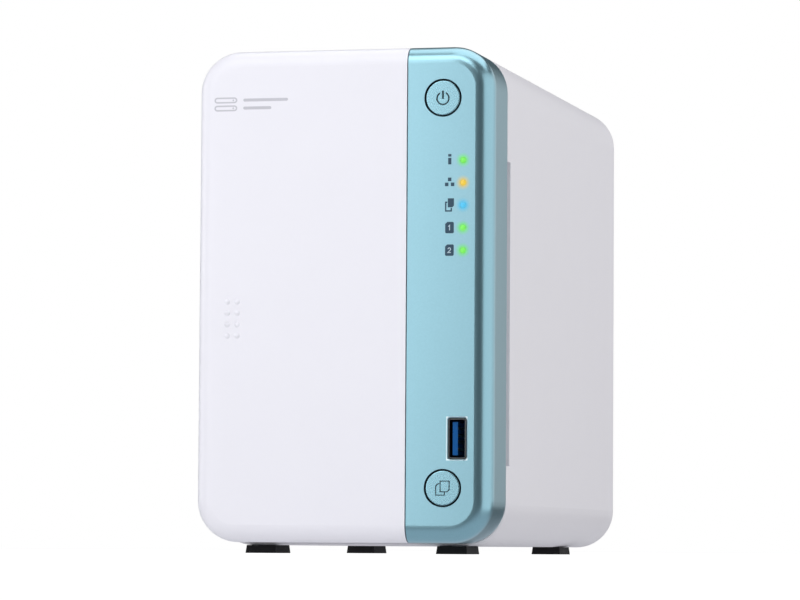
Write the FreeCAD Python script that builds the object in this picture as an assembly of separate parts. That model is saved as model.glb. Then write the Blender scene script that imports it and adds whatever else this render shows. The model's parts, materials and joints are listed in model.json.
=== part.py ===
"""Two-bay desktop network attached storage, as an assembly of separate sub-parts.

Millimetres. +X is right seen from the front, +Y points to the back, +Z is up.
The origin is the bottom centre of the whole object, on the surface its feet stand on.
Each sub-part is written to parts/NODE.step.
"""
import FreeCAD, Part
import math
import os

Vector = FreeCAD.Vector

# Whole object
WIDTH = 102.0
HEIGHT = 169.0
DEPTH = 219.0
FOOT_HEIGHT = 2.7
BUMP_RISE = 0.4
CORNER_RADIUS = 14.0
FRONT_FILLET = 5.8
REAR_FILLET = 4.5
WALL = 2.4
FIT_GAP = 0.4

# Places along the depth
FRONT_Y = -DEPTH / 2 + BUMP_RISE
REAR_Y = DEPTH / 2
SEAM_Y = FRONT_Y + 23.5
FRONT_INNER_Y = FRONT_Y + WALL

# Seams between the skins
SEAM_X = 22.0
SEAM_GAP = 0.4
SEAM_CHAMFER = 0.5
NOTCH_DEPTH = 4.9
NOTCH_Z = (29.6, 132.2)
FRONT_RAISE = 0.9

# Bezel behind the front skins
BEZEL_PLATE_THICK = 2.3
BEZEL_PLATE_Y = FRONT_Y + 18.8
BEZEL_BACK_Y = BEZEL_PLATE_Y + BEZEL_PLATE_THICK
BEZEL_RING_END_Y = SEAM_Y + 9.6
BEZEL_INSET = WALL + FIT_GAP
BEZEL_RING_THICK = 1.1
TAB_PLACES = ((-38.0, 155.0), (12.0, 155.0), (-38.0, 14.5), (12.0, 14.5))
COVER_RIB_X = (-40.0, 16.0)
COVER_RIB_Z = (60.0, 110.0)
BAY_WINDOW_X = (-46.3, 20.1)
BAY_WINDOW_Z = (25.1, 144.9)
CABLE_WINDOW_X = (28.0, 42.0)
CABLE_WINDOW_Z = (52.0, 92.0)
STRIP_SCREWS = ((28.0, 161.0), (28.0, 11.5))
BOARD_POSTS = ((28.5, 139.0), (28.5, 34.0), (43.0, 106.0), (43.0, 60.0))
CAGE_SCREWS = ((-22.0, 151.0), (-4.0, 151.0), (-22.0, 19.0), (-4.0, 19.0))

# Drive bays
BAY_CENTRES_X = (-29.85, 3.45)
BAY_MIDDLE_Z = 85.0
CAGE_X = (-47.0, 20.6)
CAGE_Z = (24.0, 146.0)
SHEET = 1.0
CAGE_FRONT_Y = BEZEL_BACK_Y + 0.2
CAGE_REAR_Y = 60.0
CAGE_SIDE_REAR_Y = 86.0
DIVIDER_X = -13.7
CAGE_LEGS_X = (-36.0, 13.0)
CAGE_AIR_RADIUS = 8.0
BACKPLANE_SCREWS = ((-40.0, 36.0), (-40.0, 134.0), (13.5, 36.0), (13.5, 134.0))
TRAY_WIDTH = 31.3
TRAY_HEIGHT = 119.0
TRAY_FRONT_Y = FRONT_Y + 9.1
TRAY_PANEL_THICK = 3.5
TRAY_BACK_Y = 50.0
LEVER_PIN_RADIUS = 1.2
LEVER_LENGTH = 96.0

# 3.5 inch drive, standing on its long edge
DRIVE_THICK = 26.1
DRIVE_TALL = 101.6
DRIVE_DEEP = 147.0
DRIVE_FRONT_Y = -94.0
SATA_Z = (48.0, 82.0)

# Control strip
BUTTON_RADIUS = 5.85
BUTTON_FACE_Y = FRONT_Y + 0.1
BUTTON_ROUNDING = 0.4
SIGN_DEPTH = 0.25
BUTTON_HOLE_RADIUS = 6.3
HOLE_CHAMFER = 0.12
POWER_AT = (34.1, 151.5)
COPY_AT = (34.65, 21.8)
LAMP_X = 41.15
LAMP_TOP_Z = 130.6
LAMP_PITCH = 7.5
LAMP_COUNT = 5
LAMP_HOLE_RADIUS = 1.0
FRONT_BOARD_Y = FRONT_Y + 14.6
FRONT_BOARD_THICK = 1.6

# Front USB socket, standing on its narrow side
USB_AT = (39.45, 38.2)
USB_OPENING = (6.4, 13.7)
USB_CHAMFER = 0.4
USB_SHELL = (5.9, 13.2)
USB_SHELL_WALL = 0.3
USB_DEPTH = 13.6

# Fan
FAN_AT = (-11.5, 86.0)
FAN_SIZE = 70.0
FAN_Y = (88.0, 103.0)
FAN_BORE_RADIUS = 33.0
FAN_HOLE_SPACING = 60.0
FAN_HUB_RADIUS = 14.0
FAN_BLADE_COUNT = 7
SHAFT_RADIUS = 1.5
SHAFT_CLEARANCE = 0.05

# Main board, vertical, with its components on the +X side
BOARD_X = (24.5, 26.1)
BOARD_Y = (-80.0, 102.0)
BOARD_Z = (10.0, 152.0)
MEMORY_Z = (14.0, 92.0)
STANDOFFS = ((-74.0, 34.0), (-74.0, 140.0), (10.0, 34.0), (10.0, 140.0), (80.0, 34.0), (80.0, 140.0))

# Rear panel
PANEL_Y = (104.3, 105.5)
LIP_INSET = 6.0
LIP_Y = 105.7
PANEL_SCREWS = ((-40.5, 13.2), (-40.5, 158.5), (40.5, 13.2), (40.5, 158.5))

# Sockets and openings in the rear panel: heights, and places as (x, z).
LAN_Z = (59.0, 75.0)
USB_STACK_Z = (42.0, 56.5)
USB_STACK_SHIFTS = (0.9, 8.8)
HDMI_Z = (24.5, 39.5)
POWER_JACK_Z = (11.5, 21.5)
COVER_Z = (84.0, 152.0)
COVER_X = (25.5, 43.9)
COVER_SCREWS = ((34.7, 87.0), (34.7, 149.0))
LOCK_AT = (-22.0, 16.0)
RESET_AT = (31.0, 79.0)

# Feet
FOOT_PLACES = ((-33.2, -79.7), (33.2, -79.7), (-35.3, 64.9), (35.3, 64.9))
FOOT_TOP = (10.0, 18.0)
FOOT_FLARE = 0.35

# Grip bumps on the bay cover
BUMP_RADIUS = 1.0
BUMP_X = (-39.85, -36.45)
BUMP_TOP_Z = 84.15
BUMP_PITCH = 3.82
BUMP_ROWS = 4

X_AXIS = Vector(1, 0, 0)
Y_AXIS = Vector(0, 1, 0)
Z_AXIS = Vector(0, 0, 1)


def box(x0, x1, y0, y1, z0, z1):
    """A box between two corners."""
    return Part.makeBox(x1 - x0, y1 - y0, z1 - z0, Vector(x0, y0, z0))


def rod_x(y, z, radius, x0, x1):
    """A cylinder along X."""
    return Part.makeCylinder(radius, x1 - x0, Vector(x0, y, z), X_AXIS)


def rod_y(x, z, radius, y0, y1):
    """A cylinder along Y."""
    return Part.makeCylinder(radius, y1 - y0, Vector(x, y0, z), Y_AXIS)


def rod_z(x, y, radius, z0, z1):
    """A cylinder along Z."""
    return Part.makeCylinder(radius, z1 - z0, Vector(x, y, z0), Z_AXIS)


def join(shapes):
    """One solid from shapes that touch or overlap."""
    shapes = list(shapes)
    return shapes[0].fuse(shapes[1:]).removeSplitter()


def group(shapes):
    """Separate solids that share one node."""
    return Part.makeCompound(list(shapes))


def edges_along(shape, axis):
    """The straight edges that run along an axis."""
    found = []
    for edge in shape.Edges:
        if isinstance(edge.Curve, Part.Line):
            direction = edge.tangentAt(edge.FirstParameter)
            if abs(direction.dot(axis)) > 0.999:
                found.append(edge)
    return found


def edges_at_y(shape, y):
    """The edges that lie wholly in the plane of one depth."""
    found = []
    for edge in shape.Edges:
        bounds = edge.BoundBox
        if abs(bounds.YMin - y) < 1e-4 and abs(bounds.YMax - y) < 1e-4:
            found.append(edge)
    return found


def rounded_block(x0, x1, y0, y1, z0, z1, radius, axis=Y_AXIS):
    """A box with its four edges along one axis rounded."""
    block = box(x0, x1, y0, y1, z0, z1)
    return block.makeFillet(radius, edges_along(block, axis))


def body_section(inset, y0, y1):
    """The body's rounded outline, moved inwards by inset, from one depth to another."""
    half = WIDTH / 2 - inset
    return rounded_block(-half, half, y0, y1, FOOT_HEIGHT + inset, HEIGHT - inset, CORNER_RADIUS - inset)


def prism_y(points, y0, y1):
    """A closed outline of (x, z) points, extruded along Y."""
    corners = [Vector(x, y0, z) for x, z in points]
    face = Part.Face(Part.makePolygon(corners + corners[:1]))
    return face.extrude(Vector(0, y1 - y0, 0))


def pan_screw(x, z, head_y, facing, shank_radius, shank_length):
    """A pan-head screw along Y: its head stands out towards facing, its shank goes the other way."""
    head = Part.makeCylinder(shank_radius * 1.9, shank_radius * 1.2, Vector(x, head_y, z), Y_AXIS * facing)
    rim = [edge for edge in head.Edges if abs(edge.BoundBox.YLength) < 1e-4]
    outer = [edge for edge in rim if abs(edge.BoundBox.YMin - head_y) > 1e-3]
    head = head.makeFillet(shank_radius * 0.5, outer)
    top = head_y + facing * shank_radius * 1.2
    arm = shank_radius * 1.1
    slot_width = shank_radius * 0.28
    deep = shank_radius * 0.6
    slots = [
        box(x - arm, x + arm, min(top, top - facing * deep), max(top, top - facing * deep),
            z - slot_width, z + slot_width),
        box(x - slot_width, x + slot_width, min(top, top - facing * deep), max(top, top - facing * deep),
            z - arm, z + arm),
    ]
    head = head.cut(slots)
    shank = Part.makeCylinder(shank_radius, shank_length, Vector(x, head_y, z), Y_AXIS * -facing)
    return join([head, shank])


def lamp_heights():
    """The heights of the five lamps, from the top down."""
    return [LAMP_TOP_Z - row * LAMP_PITCH for row in range(LAMP_COUNT)]


# ---------------------------------------------------------------- skins

def front_block():
    """The outside form in front of the seam, with a softened front edge and a raised underside."""
    half = WIDTH / 2
    block = rounded_block(-half, half, FRONT_Y, SEAM_Y - SEAM_GAP / 2, FOOT_HEIGHT + FRONT_RAISE, HEIGHT,
                          CORNER_RADIUS)
    return block.makeFillet(FRONT_FILLET, edges_at_y(block, FRONT_Y))


def front_skin(block):
    """The front form made hollow, open at the back."""
    hollow = body_section(WALL, FRONT_INNER_Y, SEAM_Y + 1)
    hollow = hollow.makeFillet(FRONT_FILLET - WALL, edges_at_y(hollow, FRONT_INNER_Y))
    return block.cut(hollow)


def case_shell():
    """The rear case: a rounded tube with a lip at the back, corner bosses, air slots and a side notch."""
    front_y = SEAM_Y + SEAM_GAP / 2
    block = body_section(0, front_y, REAR_Y)
    block = block.makeChamfer(SEAM_CHAMFER, edges_at_y(block, front_y))
    block = block.makeFillet(REAR_FILLET, edges_at_y(block, REAR_Y))
    hollow = body_section(WALL, front_y - 1, LIP_Y)
    back_opening = body_section(LIP_INSET, LIP_Y - 1, REAR_Y + 1)
    case = block.cut([hollow, back_opening])
    bosses = []
    for x, z in PANEL_SCREWS:
        side = math.copysign(1, x)
        up = math.copysign(1, z - HEIGHT / 2)
        x_edges = sorted((x - side * 3.6, side * WIDTH / 2))
        z_edges = sorted((z - up * 3.6, z + up * 16.0))
        lump = box(x_edges[0], x_edges[1], 94.0, PANEL_Y[0], z_edges[0], z_edges[1])
        lump = lump.common(block.common(body_section(WALL / 2, 90.0, PANEL_Y[0])))
        bosses.append(lump.cut(rod_y(x, z, 1.55, 96.0, PANEL_Y[0] + 1)))
    case = case.fuse(bosses).removeSplitter()
    cutters = []
    for middle_x in (-14, 14):
        for row in range(8):
            y0 = -60.0 + row * 13.0
            cutters.append(box(middle_x - 9, middle_x + 9, y0, y0 + 3.0, -1, FOOT_HEIGHT + WALL + 1))
    cutters += [rod_z(x, y, 2.6, -1, FOOT_HEIGHT + WALL + 1) for x, y in FOOT_PLACES]
    cutters.append(box(WIDTH / 2 - WALL - 1, WIDTH / 2 + 1, SEAM_Y - 1, SEAM_Y + NOTCH_DEPTH, *NOTCH_Z))
    return case.cut(cutters)


def bay_cover(skin):
    """The removable cover over the bays: skin left of the seam, with grip bumps and four push-in tabs."""
    right = SEAM_X - SEAM_GAP / 2
    cover = skin.common(box(-WIDTH, right, FRONT_Y - 1, SEAM_Y, -1, HEIGHT + 1))
    bumps = []
    sphere_radius = (BUMP_RADIUS ** 2 + BUMP_RISE ** 2) / (2 * BUMP_RISE)
    for x in BUMP_X:
        for row in range(BUMP_ROWS):
            centre = Vector(x, FRONT_Y + sphere_radius - BUMP_RISE, BUMP_TOP_Z - row * BUMP_PITCH)
            ball = Part.makeSphere(sphere_radius, centre)
            cell = box(x - 2, x + 2, FRONT_Y - 1, FRONT_Y + 1, centre.z - 2, centre.z + 2)
            bumps.append(ball.common(cell))
    tabs = [box(x - 4, x + 4, FRONT_INNER_Y - 0.5, BEZEL_BACK_Y + 1.0, z - 1, z + 1) for x, z in TAB_PLACES]
    ribs = [box(*COVER_RIB_X, FRONT_INNER_Y - 0.5, FRONT_INNER_Y + 1.0, z - 0.8, z + 0.8)
            for z in COVER_RIB_Z]
    return cover.fuse(bumps + tabs + ribs).removeSplitter()


def opening_edges(shape, at, reach):
    """Edges on the front face within reach (half width, half height) of a place (x, z)."""
    chosen = []
    for edge in edges_at_y(shape, FRONT_Y):
        middle = edge.BoundBox.Center
        if abs(middle.x - at[0]) < reach[0] and abs(middle.z - at[1]) < reach[1]:
            chosen.append(edge)
    return chosen


def control_strip(block, skin):
    """The strip right of the seam, with its button, lamp and socket openings, edge flange and bosses."""
    left = SEAM_X + SEAM_GAP / 2
    strip = skin.common(box(left, WIDTH, FRONT_Y - 1, SEAM_Y, -1, HEIGHT + 1))
    inside = body_section(WALL / 2, FRONT_INNER_Y - 0.5, BEZEL_PLATE_Y - 0.2)
    flange = inside.common(box(left, left + 1.6, FRONT_Y, SEAM_Y, 0, HEIGHT)).common(block)
    bosses = [rod_y(x, z, 3.0, FRONT_INNER_Y - 0.5, BEZEL_PLATE_Y) for x, z in STRIP_SCREWS]
    strip = strip.fuse([flange] + bosses).removeSplitter()
    cutters = [rod_y(x, z, 1.3, FRONT_INNER_Y + 6.0, BEZEL_PLATE_Y + 1) for x, z in STRIP_SCREWS]
    for x, z in (POWER_AT, COPY_AT):
        cutters.append(rod_y(x, z, BUTTON_HOLE_RADIUS, FRONT_Y - 1, FRONT_INNER_Y + 0.2))
    for z in lamp_heights():
        cutters.append(rod_y(LAMP_X, z, LAMP_HOLE_RADIUS, FRONT_Y - 1, FRONT_INNER_Y + 0.2))
    x, z = USB_AT
    half_x = USB_OPENING[0] / 2
    half_z = USB_OPENING[1] / 2
    cutters.append(rounded_block(x - half_x, x + half_x, FRONT_Y - 1, FRONT_INNER_Y + 0.2,
                                 z - half_z, z + half_z, 0.9))
    strip = strip.cut(cutters)
    for at in (POWER_AT, COPY_AT):
        strip = strip.makeChamfer(HOLE_CHAMFER, opening_edges(strip, at, (1.0, 1.0)))
    return strip.makeChamfer(USB_CHAMFER, opening_edges(strip, USB_AT, (half_x + 1, half_z + 1)))


def front_bezel():
    """The frame behind the front skins: a plate with windows, and a ring that locates the case's edge."""
    plate = body_section(BEZEL_INSET, BEZEL_PLATE_Y, BEZEL_BACK_Y)
    ring = body_section(BEZEL_INSET, BEZEL_PLATE_Y, BEZEL_RING_END_Y)
    ring = ring.cut(body_section(BEZEL_INSET + BEZEL_RING_THICK, BEZEL_PLATE_Y - 1, BEZEL_RING_END_Y + 1))
    posts = [rod_y(x, z, 2.5, FRONT_BOARD_Y + FRONT_BOARD_THICK, BEZEL_PLATE_Y + 1) for x, z in BOARD_POSTS]
    frame = join([plate, ring] + posts)
    cutters = [box(*BAY_WINDOW_X, FRONT_Y, BEZEL_BACK_Y + 1, *BAY_WINDOW_Z)]
    cutters.append(box(*CABLE_WINDOW_X, FRONT_Y, BEZEL_BACK_Y + 1, *CABLE_WINDOW_Z))
    for x, z in TAB_PLACES:
        cutters.append(box(x - 4.5, x + 4.5, FRONT_Y, BEZEL_BACK_Y + 1, z - 1.5, z + 1.5))
    for x, z in STRIP_SCREWS:
        cutters.append(rod_y(x, z, 1.6, FRONT_Y, BEZEL_BACK_Y + 1))
    for x, z in CAGE_SCREWS:
        cutters.append(rod_y(x, z, 1.5, FRONT_Y, BEZEL_BACK_Y + 1))
    return frame.cut(cutters)


# ---------------------------------------------------------------- controls

def button_cap(at):
    """A round button: cap in the strip's hole, and a flange behind the strip that keeps it in."""
    x, z = at
    cap = rod_y(x, z, BUTTON_RADIUS, BUTTON_FACE_Y, FRONT_INNER_Y + 0.4)
    crown = cap.makeFillet(BUTTON_ROUNDING, edges_at_y(cap, BUTTON_FACE_Y))
    flange = rod_y(x, z, 7.3, FRONT_INNER_Y + 0.15, FRONT_INNER_Y + 1.4)
    return join([crown, flange])


def power_button():
    """The power button, with a broken ring and a bar pressed into its face."""
    x, z = POWER_AT
    floor_y = BUTTON_FACE_Y + SIGN_DEPTH
    ring = rod_y(x, z - 0.2, 2.3, FRONT_Y - 1, floor_y)
    ring = ring.cut([rod_y(x, z - 0.2, 1.75, FRONT_Y - 2, FRONT_Y + 1),
                     box(x - 0.95, x + 0.95, FRONT_Y - 2, FRONT_Y + 1, z, z + 4)])
    bar = box(x - 0.35, x + 0.35, FRONT_Y - 1, floor_y, z - 0.4, z + 2.4)
    return button_cap(POWER_AT).cut([ring, bar])


def page_outline(x0, x1, z0, z1, chamfer, turned=False):
    """A page with its top left corner cut off, or its bottom right one if turned, as (x, z) corners."""
    if turned:
        return ((x1, z1), (x0, z1), (x0, z0), (x1 - chamfer, z0), (x1, z0 + chamfer))
    return ((x0, z0), (x1, z0), (x1, z1), (x0 + chamfer, z1), (x0, z1 - chamfer))


def page_groove(x0, x1, z0, z1, chamfer, line, turned=False):
    """The pressed outline of one page."""
    outer = prism_y(page_outline(x0, x1, z0, z1, chamfer, turned), FRONT_Y - 1, BUTTON_FACE_Y + SIGN_DEPTH)
    inner = prism_y(page_outline(x0 + line, x1 - line, z0 + line, z1 - line, chamfer * 0.8, turned),
                    FRONT_Y - 2, FRONT_Y + 1)
    return outer.cut(inner)


def copy_button():
    """The copy button, with two overlapping pages pressed into its face."""
    x, z = COPY_AT
    line = 0.36
    right_page = (x - 0.95, x + 2.45, z - 1.4, z + 2.5, 0.8)
    left_page = (x - 2.45, x + 0.85, z - 2.5, z + 1.6, 0.8)
    hidden = prism_y(page_outline(*right_page, True), FRONT_Y - 2, FRONT_Y + 1)
    grooves = [page_groove(*right_page, line, True), page_groove(*left_page, line).cut(hidden)]
    return button_cap(COPY_AT).cut(grooves)


def button_plunger(at):
    """The pin from the button's flange into its switch."""
    x, z = at
    return rod_y(x, z, 1.6, FRONT_INNER_Y + 1.4, FRONT_BOARD_Y - 2.4)


def switch_body(x, z):
    """A push switch on the front board, with a bore for its plunger."""
    body = box(x - 3, x + 3, FRONT_BOARD_Y - 3.5, FRONT_BOARD_Y, z - 3, z + 3)
    return body.cut(rod_y(x, z, 2.0, FRONT_BOARD_Y - 4, FRONT_BOARD_Y - 1.0))


def reset_switch_body():
    """The reset switch on the main board, with a bore for its button."""
    x, z = RESET_AT
    body = box(BOARD_X[1], x + 3, 94.0, 101.0, z - 3, z + 3)
    return body.cut(rod_y(x, z, 1.1, 98.0, 102.0))


def reset_button():
    """The pin inside the reset hole, pressed with a paper clip."""
    x, z = RESET_AT
    return rod_y(x, z, 0.9, 98.8, 103.6)


def light_pipe():
    """One clear moulding: five rods to the strip's face, joined by a bar behind it."""
    heights = lamp_heights()
    bar = box(LAMP_X - 1.2, LAMP_X + 1.2, FRONT_BOARD_Y - 3.2, FRONT_BOARD_Y - 1.8,
              heights[-1] - 2, heights[0] + 2)
    rods = []
    for z in heights:
        rod = rod_y(LAMP_X, z, LAMP_HOLE_RADIUS - 0.05, FRONT_Y, FRONT_BOARD_Y - 3.0)
        rods.append(rod)
    return join([bar] + rods)


def status_leds():
    """Five LED chips on the front board."""
    return group(box(LAMP_X - 0.8, LAMP_X + 0.8, FRONT_BOARD_Y - 1.2, FRONT_BOARD_Y, z - 1, z + 1)
                 for z in lamp_heights())


def front_board():
    """The narrow board behind the strip, screwed to the bezel's posts."""
    board = box(25.5, 45.5, FRONT_BOARD_Y, FRONT_BOARD_Y + FRONT_BOARD_THICK, 16.5, 156.5)
    return board.cut([rod_y(x, z, 1.2, FRONT_Y, BEZEL_PLATE_Y) for x, z in BOARD_POSTS])


def front_usb_shell():
    """The plated steel shell of the front socket."""
    x, z = USB_AT
    half_x = USB_SHELL[0] / 2
    half_z = USB_SHELL[1] / 2
    y0 = FRONT_Y + 0.5
    y1 = y0 + USB_DEPTH
    shell = rounded_block(x - half_x, x + half_x, y0, y1, z - half_z, z + half_z, 0.6)
    wall = USB_SHELL_WALL
    inner = rounded_block(x - half_x + wall, x + half_x - wall, y0 - 1, y1 + 1,
                          z - half_z + wall, z + half_z - wall, 0.3)
    return shell.cut(inner)


def front_usb_tongue():
    """The blue tongue that carries the contacts, with its base at the back of the shell."""
    x, z = USB_AT
    wall = USB_SHELL_WALL
    y0 = FRONT_Y + 1.6
    y1 = FRONT_Y + 0.5 + USB_DEPTH
    half_x = USB_SHELL[0] / 2 - wall - 0.1
    half_z = USB_SHELL[1] / 2 - wall - 0.1
    tongue = box(x - 1.75, x - 0.05, y0, y1, z - 5.5, z + 5.5)
    base = box(x - half_x, x + half_x, y1 - 2.5, y1, z - half_z, z + half_z)
    return join([tongue, base])


def front_usb_contacts():
    """The contact strips on the tongue's inner face."""
    x, z = USB_AT
    places = (-3.5, -1.0, 1.0, 3.5)
    return group(box(x - 0.05, x + 0.1, FRONT_Y + 2.6, FRONT_Y + 11.0, z + at - 0.5, z + at + 0.5)
                 for at in places)


def front_board_cable():
    """The flat cable from the front board, through the bezel window, to the main board."""
    thick = 0.5
    y_start = FRONT_BOARD_Y + FRONT_BOARD_THICK
    bend = 3.0
    run = box(31.0, 31.0 + thick, y_start, BOARD_Y[0] + 6, 62.0, 82.0)
    foot = box(BOARD_X[1], 31.0 + thick, BOARD_Y[0] + 6, BOARD_Y[0] + 6 + bend, 60.0, 84.0)
    plug = box(29.5, 33.0, y_start, y_start + bend, 60.0, 84.0)
    return join([run, foot, plug])


# ---------------------------------------------------------------- feet

def rubber_feet():
    """Four rubber feet, a little wider at the floor, each with a peg pressed into the case."""
    feet = []
    for x, y in FOOT_PLACES:
        wires = []
        for z, grow in ((0, FOOT_FLARE), (FOOT_HEIGHT, 0)):
            half_x = FOOT_TOP[0] / 2 + grow
            half_y = FOOT_TOP[1] / 2 + grow
            corners = [Vector(x - half_x, y - half_y, z), Vector(x + half_x, y - half_y, z),
                       Vector(x + half_x, y + half_y, z), Vector(x - half_x, y + half_y, z)]
            wires.append(Part.makePolygon(corners + corners[:1]))
        pad = Part.makeLoft(wires, True, True)
        peg = rod_z(x, y, 2.5, FOOT_HEIGHT - 0.5, FOOT_HEIGHT + WALL - 0.1)
        feet.append(join([pad, peg]))
    return group(feet)


# ---------------------------------------------------------------- drive bays

def drive_cage():
    """Sheet steel riveted together: four walls, a divider, front and rear brackets and two floor legs."""
    x0, x1 = CAGE_X
    z0, z1 = CAGE_Z
    left = box(x0, x0 + SHEET, CAGE_FRONT_Y, CAGE_REAR_Y, z0 + SHEET, z1 - SHEET)
    right = box(x1 - SHEET, x1, CAGE_FRONT_Y, CAGE_SIDE_REAR_Y, z0 + SHEET, z1 - SHEET)
    floor = box(x0, x1, CAGE_FRONT_Y, CAGE_REAR_Y, z0, z0 + SHEET)
    roof = box(x0, x1, CAGE_FRONT_Y, CAGE_REAR_Y, z1 - SHEET, z1)
    divider = box(DIVIDER_X, DIVIDER_X + SHEET, CAGE_FRONT_Y + 2, CAGE_REAR_Y - 6, z0 + SHEET, z1 - SHEET)
    air_holes = []
    for row in range(3):
        for column in range(4):
            y = -60.0 + column * 30.0
            air_holes.append(rod_x(y, 50.0 + row * 35.0, CAGE_AIR_RADIUS, x0 - 1, x0 + 2))
    cable_window = box(x1 - 2, x1 + 1, 52.0, 64.0, 62.0, 104.0)
    sheets = [left.cut(air_holes), right.cut(cable_window), floor, roof, divider]
    brackets = []
    for x, z in CAGE_SCREWS:
        reach = (z1, z + 5) if z > BAY_MIDDLE_Z else (z - 5, z0)
        bracket = box(x - 5, x + 5, CAGE_FRONT_Y, CAGE_FRONT_Y + SHEET, *reach)
        brackets.append(bracket.cut(rod_y(x, z, 1.6, CAGE_FRONT_Y - 1, CAGE_FRONT_Y + 2)))
    for x, z in BACKPLANE_SCREWS:
        x_edges = (x0 + SHEET, x + 5) if x < 0 else (x - 5, x1 - SHEET)
        bracket = box(*x_edges, CAGE_REAR_Y - SHEET, CAGE_REAR_Y, z - 5, z + 5)
        brackets.append(bracket.cut(rod_y(x, z, 1.3, CAGE_REAR_Y - 2, CAGE_REAR_Y + 1)))
    legs = [box(x, x + SHEET, -60.0, 40.0, FOOT_HEIGHT + WALL + 0.1, z0) for x in CAGE_LEGS_X]
    return group(sheets + brackets + legs)


def tray(centre_x):
    """A drive tray: front panel with air slots, side pan, and top and bottom rails."""
    x0 = centre_x - TRAY_WIDTH / 2
    x1 = centre_x + TRAY_WIDTH / 2
    z0 = BAY_MIDDLE_Z - TRAY_HEIGHT / 2
    z1 = BAY_MIDDLE_Z + TRAY_HEIGHT / 2
    panel_back = TRAY_FRONT_Y + TRAY_PANEL_THICK
    panel = box(x0, x1, TRAY_FRONT_Y, panel_back, z0, z1)
    pan = box(x0, x0 + 1.4, panel_back, TRAY_BACK_Y, z0 + 4, z1 - 4)
    drive_z0 = BAY_MIDDLE_Z - DRIVE_TALL / 2
    drive_z1 = BAY_MIDDLE_Z + DRIVE_TALL / 2
    rail_width = 24.0
    rails = [
        box(x0, x0 + rail_width, panel_back, TRAY_BACK_Y, drive_z0 - 3.2, drive_z0 - 0.2),
        box(x0, x0 + rail_width, panel_back, TRAY_BACK_Y, drive_z1 + 0.2, drive_z1 + 3.2),
        box(x0 + 8, x0 + 11, panel_back, TRAY_BACK_Y, z0, drive_z0 - 0.5),
        box(x0 + 8, x0 + 11, panel_back, TRAY_BACK_Y, drive_z1 + 0.5, z1),
    ]
    body = join([panel, pan] + rails)
    cutters = []
    for row in range(12):
        z = z0 + 24.0 + row * 6.2
        cutters.append(box(x0 + 3, x0 + 7.5, TRAY_FRONT_Y - 1, panel_back + 1, z, z + 3.2))
        cutters.append(box(x1 - 7.5, x1 - 3, TRAY_FRONT_Y - 1, panel_back + 1, z, z + 3.2))
    for column in range(4):
        y = -62.0 + column * 30.0
        cutters.append(rod_x(y, BAY_MIDDLE_Z, 9.0, x0 - 1, x0 + 2))
    body = body.cut(cutters)
    pin_y, pin_z = lever_pin_place()
    ears = []
    for ear_x in (centre_x - 8.4, centre_x + 6.4):
        ears.append(box(ear_x, ear_x + 2, pin_y - 2.0, TRAY_FRONT_Y + 0.5, pin_z - 2.6, pin_z + 2.6))
    return join([body] + ears).cut(rod_x(pin_y, pin_z, LEVER_PIN_RADIUS, centre_x - 20, centre_x + 20))


def lever_pin_place():
    """Depth and height of the lever's hinge, at the bottom of the tray front."""
    return TRAY_FRONT_Y - 2.4, BAY_MIDDLE_Z - TRAY_HEIGHT / 2 + 8.0


def tray_lever(centre_x):
    """The pull lever on a tray's front: hinged at the bottom, with a finger hook at the top."""
    pin_y, pin_z = lever_pin_place()
    front = pin_y - 1.9
    back = TRAY_FRONT_Y - 0.6
    top = pin_z + LEVER_LENGTH
    arm = box(centre_x - 6.0, centre_x + 6.0, front, back, pin_z, top)
    knuckle = rod_x(pin_y, pin_z, 1.9, centre_x - 6.0, centre_x + 6.0)
    lever = join([arm, knuckle])
    cutters = [rod_x(pin_y, pin_z, LEVER_PIN_RADIUS + SHAFT_CLEARANCE, centre_x - 20, centre_x + 20)]
    cutters.append(box(centre_x - 3.5, centre_x + 3.5, front - 1, front + 1.6, top - 26, top - 6))
    for row in range(6):
        z = pin_z + 14 + row * 8.0
        cutters.append(box(centre_x - 3.5, centre_x + 3.5, front - 1, back + 1, z, z + 4.0))
    return lever.cut(cutters)


def lever_pin(centre_x):
    """The steel hinge pin of a lever, pressed into the tray's ears."""
    pin_y, pin_z = lever_pin_place()
    return rod_x(pin_y, pin_z, LEVER_PIN_RADIUS, centre_x - 8.4, centre_x + 8.4)


def drive_clips(centre_x):
    """Two snap clips that hold the drive to the tray's rails, with pegs in the drive's side holes."""
    x0 = centre_x - TRAY_WIDTH / 2
    clips = []
    for z, side in ((BAY_MIDDLE_Z - DRIVE_TALL / 2, -1), (BAY_MIDDLE_Z + DRIVE_TALL / 2, 1)):
        z_edges = sorted((z + side * 3.2, z + side * 4.6))
        clips.append(box(x0 + 12, x0 + 22, -70.0, 40.0, z_edges[0], z_edges[1]))
    return group(clips)


def drive_x(centre_x):
    """The two X faces of a drive in its tray."""
    x0 = centre_x - TRAY_WIDTH / 2 + 2.2
    return x0, x0 + DRIVE_THICK


def hard_drive(centre_x):
    """The cast body of a 3.5 inch drive, hollow for its discs, with a recess for its socket."""
    x0, x1 = drive_x(centre_x)
    z0 = BAY_MIDDLE_Z - DRIVE_TALL / 2
    z1 = BAY_MIDDLE_Z + DRIVE_TALL / 2
    y0 = DRIVE_FRONT_Y
    y1 = DRIVE_FRONT_Y + DRIVE_DEEP
    body = rounded_block(x0 + 1.6, x1 - 1.2, y0, y1, z0, z1, 2.0, X_AXIS)
    spindle_y = y0 + 60.0
    discs = rod_x(spindle_y, BAY_MIDDLE_Z, 48.0, x0 + 9.0, x1 - 1.2)
    arm_bay = box(x0 + 11.0, x1 - 1.2, spindle_y + 30, y1 - 12.0, z0 + 4, z1 - 4)
    recess = box(x0 + 3.0, x0 + 11.0, y1 - 5.0, y1 + 1, SATA_Z[0] - 1.5, SATA_Z[1] + 1.5)
    return body.cut([discs, arm_bay, recess])


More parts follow.
